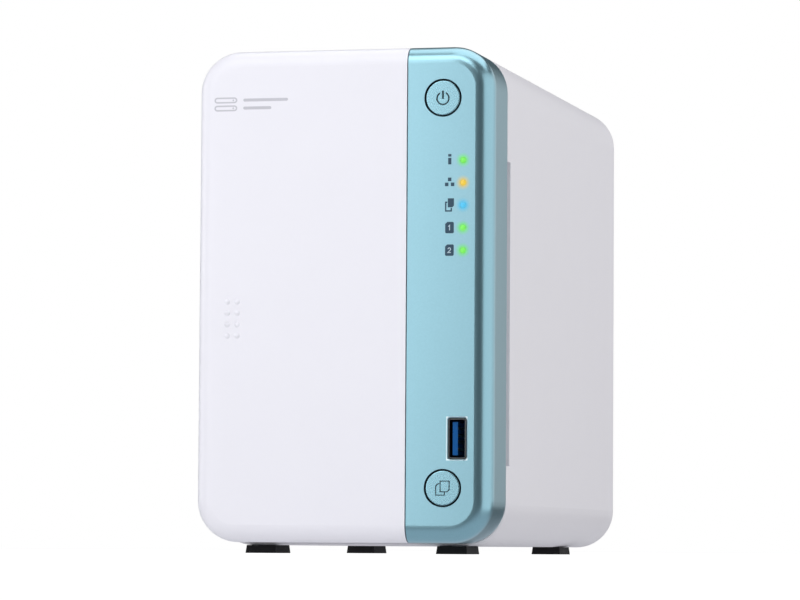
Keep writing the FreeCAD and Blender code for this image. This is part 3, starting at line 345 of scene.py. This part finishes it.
def make_finishes():
    """One finish for each material slot of the record."""
    along_y = (1.0, 0.05, 1.0)
    along_z = (1.0, 1.0, 0.05)
    finishes = {
        "case_white": moulded("case_white", (0.717, 0.709, 0.754), 0.38, 0.003, 0.0005, 0.000004, 0.01),
        "cover_white": moulded("cover_white", (0.77, 0.77, 0.835), 0.36, 0.003, 0.0005, 0.000004, 0.01),
        "strip_teal": strip_paint(),
        "button_teal": button_paint(),
        "inner_plastic": moulded("inner_plastic", (0.78, 0.78, 0.81), 0.5, 0.02),
        "black_plastic": moulded("black_plastic", (0.02, 0.02, 0.023), 0.45, 0.1),
        "tray_plastic": moulded("tray_plastic", (0.045, 0.045, 0.05), 0.5, 0.08),
        "clear_plastic": moulded("clear_plastic", (0.85, 0.9, 0.9), 0.12, 0.01,
                                 Transmission_Weight=0.7, IOR=1.49),
        "led_plastic": moulded("led_plastic", (0.85, 0.82, 0.62), 0.3, 0.04),
        "blue_plastic": moulded("blue_plastic", (0.004, 0.085, 0.29), 0.4, 0.05, Specular_IOR_Level=0.1),
        "foot_rubber": moulded("foot_rubber", (0.007, 0.007, 0.008), 0.66, 0.15, 0.0005, 0.00003,
                               Specular_IOR_Level=0.2),
        "sheet_steel": plated("sheet_steel", (0.55, 0.56, 0.57), 0.38, along_y, 0.06, 0.0006),
        "panel_steel": moulded("panel_steel", (0.70, 0.70, 0.72), 0.42, 0.02, metallic=0.3),
        "shell_steel": plated("shell_steel", (0.72, 0.71, 0.69), 0.22, along_y),
        "screw_steel": plated("screw_steel", (0.40, 0.40, 0.41), 0.3, (1.0, 1.0, 1.0), 0.08, 0.0003),
        "pin_steel": plated("pin_steel", (0.6, 0.6, 0.6), 0.18, along_z),
        "cast_aluminium": moulded("cast_aluminium", (0.50, 0.51, 0.52), 0.42, 0.06, 0.0004, 0.00003,
                                  metallic=1.0),
        "sink_aluminium": plated("sink_aluminium", (0.55, 0.56, 0.58), 0.3, along_z),
        "board_green": board_finish(),
        "gold_contact": plated("gold_contact", (0.80, 0.56, 0.20), 0.22, along_y),
        "cable_grey": moulded("cable_grey", (0.75, 0.75, 0.70), 0.45, 0.05),
        "brass_part": plated("brass_part", (0.70, 0.52, 0.24), 0.25, along_z),
        "cell_steel": plated("cell_steel", (0.7, 0.7, 0.7), 0.2, along_y),
    }
    return {slot: finish.material for slot, finish in finishes.items()}


# CAD nodes whose sharp edges catch the light on a small moulded or pressed radius, and its width.
SOFT_EDGES = tuple((name, 0.25 * MM) for name in (
    "tray_1", "tray_2", "tray_1_lever", "tray_2_lever", "front_bezel", "expansion_cover", "lan_jack"))


def paint_nodes(materials):
    """Gives every carried-over node the finish of its slot in the record."""
    for part in frame["record"]["subparts"]:
        node = NODES[part["node"]]
        node.data.materials.clear()
        node.data.materials.append(materials[part["material_slot"]])
    for name, width in SOFT_EDGES:
        soften = NODES[name].modifiers.new("soft_edges", "BEVEL")
        soften.width = width
        soften.segments = 2
        soften.limit_method = "ANGLE"
        soften.angle_limit = math.radians(50)
        soften.harden_normals = True
    # Painted shade: the front USB shell gets a darker copy of the shell steel, for the shade inside its
    # opening.
    shaded_shell = plated("front_shell_shaded", (0.10, 0.105, 0.11), 0.3, (1.0, 0.05, 1.0))
    NODES["front_usb_shell"].data.materials[0] = shaded_shell.material


# ---------------------------------------------------------------- pieces on the front

def mesh_piece(name, vertices, faces, material, body):
    mesh = bpy.data.meshes.new(name)
    mesh.from_pydata([tuple(v) for v in vertices], [], faces)
    mesh.materials.append(material)
    piece = bpy.data.objects.new(name, mesh)
    bpy.context.scene.collection.objects.link(piece)
    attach(piece, body)
    return piece


def dome(centre, radius, rise, rings=6, segments=32):
    """A shallow dome that faces forward, with a short skirt behind it."""
    vertices = [centre + Vector((0, -rise, 0))]
    faces = []
    for ring in range(1, rings + 1):
        angle = math.pi / 2 * ring / rings
        for segment in range(segments):
            turn = 2 * math.pi * segment / segments
            out = Vector((math.cos(turn), 0, math.sin(turn))) * radius * math.sin(angle)
            vertices.append(centre + out + Vector((0, -rise * math.cos(angle), 0)))
    for segment in range(segments):
        turn = 2 * math.pi * segment / segments
        vertices.append(centre + Vector((math.cos(turn) * radius, radius * 0.3, math.sin(turn) * radius)))
    for segment in range(segments):
        faces.append((0, 1 + segment, 1 + (segment + 1) % segments))
    for ring in range(rings):
        start = 1 + ring * segments
        for segment in range(segments):
            a = start + segment
            b = start + (segment + 1) % segments
            faces.append((a, a + segments, b + segments, b))
    return vertices, faces


def add_lamps():
    """A lit dome over each light pipe tip."""
    for row, (place, colour) in enumerate(zip(lamp_places(), LAMP_COLOURS), 1):
        vertices, faces = dome(place + Vector((0, 0.1 * MM, 0)), 0.99 * MM, 0.3 * MM)
        material = lens(f"lamp_{row}", colour).material
        piece = mesh_piece(f"lamp_lens_{row}", vertices, faces, material, "case")
        for polygon in piece.data.polygons:
            polygon.use_smooth = True


def stroke(points, width, closed=False):
    """The quads of a line of the given width through (x, z) points, mitred at its corners."""
    count = len(points)
    edges = []
    for index, (x, z) in enumerate(points):
        before = points[index - 1] if index or closed else points[0]
        after = points[(index + 1) % count] if index < count - 1 or closed else points[-1]
        arriving = Vector((x - before[0], z - before[1]))
        leaving = Vector((after[0] - x, after[1] - z))
        arriving = arriving.normalized() if arriving.length > 0 else leaving.normalized()
        leaving = leaving.normalized() if leaving.length > 0 else arriving
        along = (arriving + leaving).normalized()
        across = Vector((-along.y, along.x)) * width / 2 / max(0.3, along.dot(arriving))
        edges.append(((x + across.x, z + across.y), (x - across.x, z - across.y)))
    steps = count if closed else count - 1
    return [(*edges[i], *reversed(edges[(i + 1) % count])) for i in range(steps)]


def arc(x, z, radius, start, end, steps=8):
    """Points of an arc round (x, z), from one angle to another, in degrees from +X."""
    turns = [math.radians(start + (end - start) * step / steps) for step in range(steps + 1)]
    return [(x + radius * math.cos(turn), z + radius * math.sin(turn)) for turn in turns]


def rectangle(x0, x1, z0, z1):
    """The corners of an upright rectangle, from its lowest and highest x and z."""
    return [(x0, z0), (x1, z0), (x1, z1), (x0, z1)]


def moved(points, x, z, scale=1.0):
    """Points about the origin, scaled and moved to (x, z)."""
    return [(x + scale * across, z + scale * height) for across, height in points]


def flat_piece(name, faces, plane, thickness, material, body, facing=FORWARD):
    """Thin printed shapes on a plane: faces are outlines of points in millimetres.

    A point is (x, z) on a plane that faces forward or backward, and (y, z) on one that faces right.
    """
    mesh = bmesh.new()
    corners = {}
    for outline in faces:
        for point in outline:
            key = (round(point[0], 5), round(point[1], 5))
            if key not in corners:
                across, height = point[0] * MM, point[1] * MM
                place = (plane, across, height) if facing.x else (across, plane, height)
                corners[key] = mesh.verts.new(place)
        mesh.faces.new([corners[round(point[0], 5), round(point[1], 5)] for point in outline])
    raised = bmesh.ops.extrude_face_region(mesh, geom=mesh.faces[:])["geom"]
    top = [item for item in raised if isinstance(item, bmesh.types.BMVert)]
    bmesh.ops.translate(mesh, vec=facing * thickness, verts=top)
    return finished_piece(name, mesh, material, body)


def finished_piece(name, mesh, material, body, smooth=False):
    """Turns a bmesh into an object that rides on a body."""
    bmesh.ops.recalc_face_normals(mesh, faces=mesh.faces[:])
    data = bpy.data.meshes.new(name)
    mesh.to_mesh(data)
    mesh.free()
    data.materials.append(material)
    for polygon in data.polygons:
        polygon.use_smooth = smooth
    piece = bpy.data.objects.new(name, data)
    bpy.context.scene.collection.objects.link(piece)
    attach(piece, body)
    return piece


PRINT_THICKNESS = 0.02 * MM
DIGITS = {
    1: [(-0.35, 0.4), (0.05, 0.78), (0.05, -0.85)],
    2: [(-0.46, 0.4)] + arc(0.0, 0.38, 0.44, 160, -30) + [(-0.46, -0.74), (0.52, -0.74)],
}
ICON_X = 36.57


def add_icons():
    """The printed signs left of the lamps: information, network, copy and the two disks."""
    ink = moulded("print_slate", (0.035, 0.072, 0.11), 0.5, 0.05, Specular_IOR_Level=0.2).material
    pale = moulded("print_pale", (0.38, 0.50, 0.58), 0.5, 0.05).material
    heights = [place.z / MM for place in lamp_places()]
    y = front_face()

    def sign(name, faces, material=ink, lift=0.0):
        flat_piece(name, faces, y - lift, PRINT_THICKNESS, material, "case")

    z = heights[0] + 0.3
    sign("sign_information", [rectangle(ICON_X - 0.56, ICON_X + 0.56, z - 1.7, z + 0.5),
                              rectangle(ICON_X - 0.56, ICON_X + 0.56, z + 0.9, z + 1.75)])
    z = heights[1] + 0.2
    squares = [(ICON_X, z + 0.9), (ICON_X - 1.0, z - 0.75), (ICON_X + 1.0, z - 0.75)]
    sign("sign_network", [rectangle(x - 0.6, x + 0.6, h - 0.6, h + 0.6) for x, h in squares])
    z = heights[2]
    page = moved(((-0.6, -0.7), (0.95, -0.7), (1.5, -0.15), (1.5, 2.3), (-0.6, 2.3)), ICON_X, z)
    behind = moved(((-0.75, 1.0), (-1.3, 1.0), (-1.3, -1.9), (0.6, -1.9), (0.6, -0.9)), ICON_X, z)
    sign("sign_copy", [page] + stroke(behind, 0.48))
    tile = ((-1.15, -1.85), (1.2, -1.85), (1.5, -1.55), (1.5, 1.65), (1.2, 1.95), (-0.75, 1.95),
            (-1.45, 1.25), (-1.45, -1.55))
    for number, height in ((1, heights[3]), (2, heights[4])):
        digit = stroke(moved(DIGITS[number], ICON_X, height), 0.3)
        sign(f"sign_disk_{number}", [moved(tile, ICON_X, height)])
        sign(f"sign_disk_{number}_digit", digit, pale, PRINT_THICKNESS)


COVER_MARK_AT = (-45.0, 150.75)


def add_cover_mark():
    """A plain storage sign at the cover's top left: two stacked drive bars and two lines."""
    grey = moulded("print_grey", (0.50, 0.50, 0.56), 0.4, 0.02).material
    x, z = COVER_MARK_AT
    faces = []
    for height in (z - 1.35, z + 1.35):
        bar = arc(x + 1.0, height, 0.75, 90, 270) + arc(x + 7.0, height, 0.75, -90, 90)
        faces += stroke(bar, 0.5, closed=True)
        faces.append(arc(x + 6.6, height, 0.32, 0, 330, 11))
    faces.append(arc(x + 10.6, z + 1.35, 0.5, 90, 270) + arc(x + 25.2, z + 1.35, 0.5, -90, 90))
    faces.append(arc(x + 10.6, z - 1.35, 0.5, 90, 270) + arc(x + 19.4, z - 1.35, 0.5, -90, 90))
    flat_piece("cover_mark", faces, front_face(), PRINT_THICKNESS, grey, "bay_cover")


# ---------------------------------------------------------------- drives, boards and rear

def block(mesh, low, high, softness=0.2):
    """Adds a box with rounded edges to a mesh, between two corners in millimetres."""
    made = bmesh.ops.create_cube(mesh, size=1.0)["verts"]
    for vertex in made:
        for axis in range(3):
            vertex.co[axis] = (low[axis] if vertex.co[axis] < 0 else high[axis]) * MM
    edges = list({edge for vertex in made for edge in vertex.link_edges})
    bmesh.ops.bevel(mesh, geom=edges, offset=softness * MM, segments=2, profile=0.5, affect="EDGES")


def turned(mesh, centre, axis, profile, segments=40):
    """Adds a solid turned about an axis through centre: profile is (radius, reach) points in millimetres."""
    side = Vector((0, 0, 1))
    other = axis.cross(side)
    rings = []
    for radius, reach in profile:
        ring = []
        for step in range(segments):
            turn = 2 * math.pi * step / segments
            out = (side * math.cos(turn) + other * math.sin(turn)) * radius
            ring.append(mesh.verts.new((Vector(centre) + axis * reach + out) * MM))
        rings.append(ring)
    for first, second in zip(rings, rings[1:]):
        for step in range(segments):
            after = (step + 1) % segments
            mesh.faces.new((first[step], first[after], second[after], second[step]))
    mesh.faces.new(rings[0])
    mesh.faces.new(rings[-1])


def box_in_mm(node):
    """A node's lowest and highest corners at rest, in millimetres."""
    low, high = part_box(node)
    return low / MM, high / MM


def rounded_outline(u0, u1, v0, v1, radius):
    """The outline of a rectangle with rounded corners, anticlockwise."""
    centres = ((u1 - radius, v1 - radius), (u0 + radius, v1 - radius),
               (u0 + radius, v0 + radius), (u1 - radius, v0 + radius))
    outline = []
    for quarter, (u, v) in enumerate(centres):
        outline += arc(u, v, radius, 90 * quarter, 90 * quarter + 90, 4)
    return outline


# Drive lid, in millimetres
SPINDLE_FROM_LID_FRONT = 58.5
PLATEAU_RADIUS = 44.5
PLATEAU_RISE = 0.35
LABEL_HALF = 28.0
LABEL_THICKNESS = 0.06


def add_drive_details(materials):
    """On each drive's lid: the raised disc cover, its rim screws and a blank label with ruled lines."""
    paper = moulded("label_paper", (0.72, 0.72, 0.70), 0.6, 0.03, 0.0006, 0.000008).material
    rule = moulded("label_rule", (0.10, 0.11, 0.12), 0.6, 0.05).material
    for bay in (1, 2):
        body = f"tray_{bay}"
        low, high = box_in_mm(f"hard_drive_{bay}_lid")
        y = low.y + SPINDLE_FROM_LID_FRONT
        z = (low.z + high.z) / 2
        plateau = bmesh.new()
        turned(plateau, (high.x, y, z), RIGHTWARD,
               [(PLATEAU_RADIUS, -0.1), (PLATEAU_RADIUS - 0.3, 0.15), (PLATEAU_RADIUS - 1.3, PLATEAU_RISE),
                (PLATEAU_RADIUS - 3.0, PLATEAU_RISE)], 96)
        block(plateau, (high.x - 0.1, y + 49.0, z - 38.0),
              (high.x + PLATEAU_RISE, high.y - 6.0, z + 10.0), 0.3)
        finished_piece(f"drive_{bay}_plateau", plateau, materials["sheet_steel"], body)
        screws = bmesh.new()
        for across in (low.y + 5.5, y + 46.0, high.y - 5.5):
            for height in (low.z + 5.0, high.z - 5.0):
                turned(screws, (high.x, across, height), RIGHTWARD,
                       [(2.7, -0.1), (2.7, 0.25), (2.4, 0.45), (1.25, 0.47), (1.1, 0.1)], 24)
        finished_piece(f"drive_{bay}_lid_screws", screws, materials["screw_steel"], body)
        top = (high.x + PLATEAU_RISE) * MM
        edges = (y - LABEL_HALF, y + LABEL_HALF, z - LABEL_HALF, z + LABEL_HALF)
        flat_piece(f"drive_{bay}_label", [rounded_outline(*edges, 2.0)], top, LABEL_THICKNESS * MM, paper,
                   body, RIGHTWARD)
        frame_edges = (edges[0] + 2, edges[1] - 2, edges[2] + 2, edges[3] - 2)
        lines = stroke(rounded_outline(*frame_edges, 1.0), 0.3, closed=True)
        for row in range(7):
            height = z + 20.0 - row * 5.0
            lines.append(rectangle(y - 23.0, y + (21.0 if row % 3 else 8.0), height - 0.3, height + 0.3))
        lines.append(rectangle(y - 23.0, y + 2.0, z - 22.5, z - 16.5))
        flat_piece(f"drive_{bay}_label_lines", lines, top + LABEL_THICKNESS * MM, PRINT_THICKNESS, rule,
                   body, RIGHTWARD)


def add_tray_numbers():
    """The bay's number, printed at the top of each lever."""
    pale = moulded("tray_print", (0.62, 0.63, 0.64), 0.5, 0.03).material
    for bay in (1, 2):
        low, high = box_in_mm(f"tray_{bay}_lever")
        x = (low.x + high.x) / 2
        z = high.z - 3.0
        digit = stroke(moved(DIGITS[bay], x, z, 1.7), 0.5)
        flat_piece(f"tray_{bay}_number", digit, low.y * MM, PRINT_THICKNESS, pale, f"tray_{bay}_lever")


# Main board parts, in millimetres: middle y and z, then width, height and thickness.
CHIPS = ((-48, 62, 14, 14, 1.4), (-28, 62, 9, 9, 1.0), (-50, 82, 7, 10, 1.2), (60, 66, 17, 17, 1.3),
         (66, 44, 10, 10, 1.0), (60, 92, 12, 8, 1.0), (-30, 138, 10, 10, 1.2), (24, 136, 8, 6, 1.1),
         (70, 24, 9, 7, 1.1))
COILS = ((-10, 58), (-10, 67), (-10, 76), (52, 106), (61, 106))
CAPACITORS = ((-18, 132), (-18, 141), (40, 138), (49, 138), (50, 28), (50, 37), (8, 58), (84, 92))
HEADERS = ((-55, 144, 22, 5, 8.0), (24, 15, 14, 5, 8.5), (66, 146, 10, 5, 7.0))
CRYSTALS = ((-38, 76, 11, 4, 3.4), (60, 52, 8, 3.6, 3.0))
COIL_SIZE = (6.6, 6.6, 4.2)
LEG_PITCH = 1.2


def board_block(mesh, face_x, part, softness):
    """Adds one boxy part that stands on the board's face."""
    y, z, wide, tall, thick = part
    block(mesh, (face_x - 0.1, y - wide / 2, z - tall / 2),
          (face_x + thick, y + wide / 2, z + tall / 2), softness)


def add_board_parts(materials):
    """Chips with legs, coils, capacitors, headers and crystals on the main board's component side."""
    face_x = box_in_mm("main_board")[1].x
    chips, legs, coils, sleeves, tops, headers, crystals, small = (bmesh.new() for _ in range(8))
    for part in CHIPS:
        y, z, wide, tall, _ = part
        board_block(chips, face_x, part, 0.15)
        for step in range(int(wide / LEG_PITCH)):
            across = y - wide / 2 + 0.8 + step * LEG_PITCH
            board_block(legs, face_x, (across, z, 0.45, tall + 2.0, 0.35), 0.05)
        for step in range(4):
            board_block(small, face_x, (y - wide / 2 + step * 2.6, z - tall / 2 - 3.4, 1.6, 0.8, 0.6), 0.08)
    for y, z in COILS:
        board_block(coils, face_x, (y, z, *COIL_SIZE), 0.5)
    for y, z in CAPACITORS:
        turned(sleeves, (face_x, y, z), RIGHTWARD, [(3.0, -0.1), (3.15, 0.4), (3.15, 7.0), (2.9, 7.3)], 28)
        turned(tops, (face_x, y, z), RIGHTWARD, [(2.6, 7.0), (2.6, 7.36), (2.3, 7.45)], 28)
    for part in HEADERS:
        board_block(headers, face_x, part, 0.3)
    for part in CRYSTALS:
        board_block(crystals, face_x, part, 1.4)
    white = moulded("header_white", (0.80, 0.79, 0.74), 0.45, 0.03).material
    ferrite = moulded("ferrite_grey", (0.09, 0.09, 0.095), 0.55, 0.08, 0.0004, 0.00004).material
    sleeve = moulded("sleeve_black", (0.015, 0.015, 0.03), 0.3, 0.05).material
    for name, mesh, material, slot in (
            ("board_chips", chips, materials["black_plastic"], "black_plastic"),
            ("board_chip_legs", legs, materials["shell_steel"], "shell_steel"),
            ("board_small_parts", small, materials["brass_part"], "brass_part"),
            ("board_coils", coils, ferrite, "black_plastic"),
            ("board_capacitor_sleeves", sleeves, sleeve, "black_plastic"),
            ("board_capacitor_tops", tops, materials["sink_aluminium"], "sink_aluminium"),
            ("board_headers", headers, white, "inner_plastic"),
            ("board_crystals", crystals, materials["shell_steel"], "shell_steel")):
        finished_piece(name, mesh, material, "case")


# Port details, in millimetres
JACK_CONTACTS = 8
JACK_CONTACT_PITCH = 1.02
TONGUE_CONTACTS = 4
TONGUE_CONTACT_PITCH = 2.3
TONGUE_THICKNESS = 1.8


def add_port_details(materials):
    """Contacts and lamps of the network jack, rear USB contacts and the fan's blank hub disc."""
    gold = materials["gold_contact"]
    low, high = box_in_mm("lan_jack")
    middle = (low.z + high.z) / 2
    contacts = bmesh.new()
    for index in range(JACK_CONTACTS):
        z = middle + (index - (JACK_CONTACTS - 1) / 2) * JACK_CONTACT_PITCH
        block(contacts, (low.x + 1.5, high.y - 12.5, z - 0.22), (low.x + 2.4, high.y - 2.2, z + 0.22), 0.08)
    finished_piece("network_jack_contacts", contacts, gold, "case")
    for name, height, colour in (("upper", high.z - 2.4, GREEN), ("lower", low.z + 2.4, AMBER)):
        lamp = bmesh.new()
        block(lamp, (high.x - 4.2, high.y - 0.4, height - 1.3),
              (high.x - 1.0, high.y + 0.15, height + 1.3), 0.25)
        material = moulded(f"jack_lamp_{name}", tuple(0.5 * c for c in colour), 0.25, 0.04).material
        finished_piece(f"network_jack_lamp_{name}", lamp, material, "case")
    low, high = box_in_mm("rear_usb_tongues")
    tongue_contacts = bmesh.new()
    for face_x in (low.x + TONGUE_THICKNESS, high.x):
        for index in range(TONGUE_CONTACTS):
            z = (low.z + high.z) / 2 + (index - (TONGUE_CONTACTS - 1) / 2) * TONGUE_CONTACT_PITCH
            block(tongue_contacts, (face_x - 0.05, low.y + 0.5, z - 0.5),
                  (face_x + 0.06, high.y - 0.8, z + 0.5), 0.04)
    finished_piece("rear_usb_contacts", tongue_contacts, gold, "case")
    low, high = box_in_mm("fan_frame")
    centre = ((low.x + high.x) / 2, high.y, (low.z + high.z) / 2)
    disc = bmesh.new()
    turned(disc, centre, BACKWARD, [(10.6, -0.05), (10.6, 0.05), (10.4, 0.1), (9.4, 0.1), (9.3, 0.06),
                                    (2.6, 0.06), (2.5, 0.1)], 64)
    silver = plated("hub_disc_silver", (0.62, 0.63, 0.65), 0.3, (1.0, 1.0, 1.0)).material
    finished_piece("fan_hub_disc", disc, silver, "case")


REAR_SIGN_X = 22.6
LOCK_SIGN_AT = (-16.0, 16.0)


def add_rear_signs():
    """Plain printed signs by the rear ports: network, screen and power polarity, and a padlock."""
    ink = moulded("rear_print", (0.05, 0.05, 0.055), 0.5, 0.05).material
    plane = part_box("rear_panel")[1].y
    x = REAR_SIGN_X

    def sign(name, faces):
        flat_piece(name, faces, plane, PRINT_THICKNESS, ink, "case", BACKWARD)

    def middle(node):
        low, high = box_in_mm(node)
        return (low.z + high.z) / 2

    z = middle("lan_jack")
    squares = [(x, z + 0.9), (x - 1.1, z - 0.9), (x + 1.1, z - 0.9)]
    sign("rear_sign_network", [rectangle(a - 0.6, a + 0.6, b - 0.6, b + 0.6) for a, b in squares])
    z = middle("hdmi_port")
    screen = stroke(rectangle(x - 1.9, x + 1.9, z - 0.8, z + 1.6), 0.35, closed=True)
    sign("rear_sign_screen", screen + [rectangle(x - 1.0, x + 1.0, z - 1.8, z - 1.4)])
    z = middle("power_jack")
    ring = stroke(arc(x, z, 1.3, 40, 320, 14), 0.35)
    lead = rectangle(x + 1.6, x + 2.6, z - 0.18, z + 0.18)
    sign("rear_sign_power", ring + [arc(x, z, 0.5, 0, 330, 11), lead])
    x, z = LOCK_SIGN_AT
    bow = stroke([(x - 0.75, z)] + arc(x, z + 0.6, 0.75, 180, 0) + [(x + 0.75, z)], 0.35)
    sign("rear_sign_lock", [rectangle(x - 1.2, x + 1.2, z - 1.6, z)] + bow)


# ---------------------------------------------------------------- stage

LIGHT_AIM = Vector((0.0, 0.0, 0.09))

# Soft boxes: name, place, width and height in metres, and power in watts. All face LIGHT_AIM.
SOFT_BOXES = (
    ("front_left_soft_box", (-0.68, -1.35, 0.4), 0.9, 1.2, 9.2),
    ("front_top_soft_box", (-0.2, -0.95, 1.05), 1.2, 0.6, 6.8),
    ("left_soft_box", (-1.5, -0.1, 0.4), 0.9, 0.9, 5.4),
    ("top_soft_box", (0.25, 0.15, 1.25), 1.4, 1.5, 13.0),
    ("right_soft_box", (1.28, -0.22, 0.25), 2.0, 1.3, 10.0),
    ("rear_right_soft_box", (0.98, 1.2, 0.4), 1.4, 1.0, 3.9),
)


def add_lights():
    for name, place, width, height, power in SOFT_BOXES:
        data = bpy.data.lights.new(name, "AREA")
        data.shape = "RECTANGLE"
        data.size = width
        data.size_y = height
        data.energy = power
        light = bpy.data.objects.new(name, data)
        light.location = place
        light.rotation_euler = (LIGHT_AIM - Vector(place)).to_track_quat("-Z", "Y").to_euler()
        light.visible_camera = False
        bpy.context.scene.collection.objects.link(light)


def add_world():
    """White behind the object. Reflections see it dim above the horizon and paler towards straight down."""
    world = bpy.data.worlds.new("studio")
    bpy.context.scene.world = world
    world.use_nodes = True
    tree = world.node_tree
    dim = tree.nodes["Background"]
    dim.inputs["Color"].default_value = (0.9, 0.93, 1.0, 1.0)
    direction = tree.nodes.new("ShaderNodeSeparateXYZ")
    tree.links.new(tree.nodes.new("ShaderNodeTexCoord").outputs["Generated"], direction.inputs["Vector"])
    paler = tree.nodes.new("ShaderNodeMapRange")
    paler.interpolation_type = "SMOOTHSTEP"
    for name, value in (("From Min", 0.0), ("From Max", -0.6), ("To Min", 0.02), ("To Max", 0.7)):
        paler.inputs[name].default_value = value
    tree.links.new(direction.outputs["Z"], paler.inputs["Value"])
    tree.links.new(paler.outputs["Result"], dim.inputs["Strength"])
    seen = tree.nodes.new("ShaderNodeBackground")
    seen.inputs["Strength"].default_value = 1.0
    seen.inputs["Color"].default_value = WHITE
    choice = tree.nodes.new("ShaderNodeMixShader")
    tree.links.new(tree.nodes.new("ShaderNodeLightPath").outputs["Is Camera Ray"], choice.inputs["Fac"])
    tree.links.new(dim.outputs["Background"], choice.inputs[1])
    tree.links.new(seen.outputs["Background"], choice.inputs[2])
    tree.links.new(choice.outputs["Shader"], tree.nodes["World Output"].inputs["Surface"])


FLOOR_HALF = 6.0


def add_floor():
    """A pale floor, seen nearly white though it throws back less light, and clear from below."""
    finish = Finish("floor_white", (0.45, 0.44, 0.44), 0.7)
    finish.grain(0.05, 0.01)
    finish.set("Emission Color", WHITE)
    finish.set("Emission Strength", 0.32)
    glow = finish.node("Emission")
    seen = finish.math("MULTIPLY", finish.node("LightPath").outputs["Is Camera Ray"], 0.8)
    choice = finish.node("MixShader")
    finish.link(seen, choice.inputs["Fac"])
    finish.link(finish.shader.outputs["BSDF"], choice.inputs[1])
    finish.link(glow.outputs["Emission"], choice.inputs[2])
    glow.inputs["Strength"].default_value = 1.15
    one_sided = finish.node("MixShader")
    finish.link(finish.node("NewGeometry").outputs["Backfacing"], one_sided.inputs["Fac"])
    finish.link(choice.outputs["Shader"], one_sided.inputs[1])
    finish.link(finish.node("BsdfTransparent").outputs["BSDF"], one_sided.inputs[2])
    finish.link(one_sided.outputs["Shader"], finish.tree.nodes["Material Output"].inputs["Surface"])
    mesh = bpy.data.meshes.new("floor")
    corners = [(x, y, 0) for x, y in rectangle(-FLOOR_HALF, FLOOR_HALF, -FLOOR_HALF, FLOOR_HALF)]
    mesh.from_pydata(corners, [], [(0, 1, 2, 3)])
    mesh.materials.append(finish.material)
    floor = bpy.data.objects.new("floor", mesh)
    floor.visible_glossy = False
    floor.visible_shadow = False
    bpy.context.scene.collection.objects.link(floor)


def add_camera():
    """The camera at the angle above, turned about its own axis by the roll."""
    level = Vector((math.cos(CAMERA_YAW), math.sin(CAMERA_YAW), 0.0))
    ahead = Vector((-math.sin(CAMERA_YAW), math.cos(CAMERA_YAW), 0.0))
    forward = ahead * math.cos(CAMERA_PITCH) + Vector((0.0, 0.0, math.sin(CAMERA_PITCH)))
    upright = level.cross(forward)
    right = math.cos(CAMERA_ROLL) * level + math.sin(CAMERA_ROLL) * upright
    up = math.cos(CAMERA_ROLL) * upright - math.sin(CAMERA_ROLL) * level
    data = bpy.data.cameras.new("camera")
    data.lens = LENS_MM
    data.sensor_width = SENSOR_MM
    data.sensor_fit = "HORIZONTAL"
    camera = bpy.data.objects.new("camera", data)
    matrix = camera.matrix_world.copy()
    for column, axis in enumerate((right, up, -forward)):
        for row in range(3):
            matrix[row][column] = axis[row]
    matrix.translation = CAMERA_AIM - forward * CAMERA_DISTANCE
    camera.matrix_world = matrix
    bpy.context.scene.collection.objects.link(camera)
    bpy.context.scene.camera = camera


add_camera()
add_lights()
add_world()
add_floor()
finishes = make_finishes()
paint_nodes(finishes)
add_lamps()
add_icons()
add_cover_mark()
add_drive_details(finishes)
add_tray_numbers()
add_board_parts(finishes)
add_port_details(finishes)
add_rear_signs()
bpy.context.scene.view_settings.view_transform = "Standard"
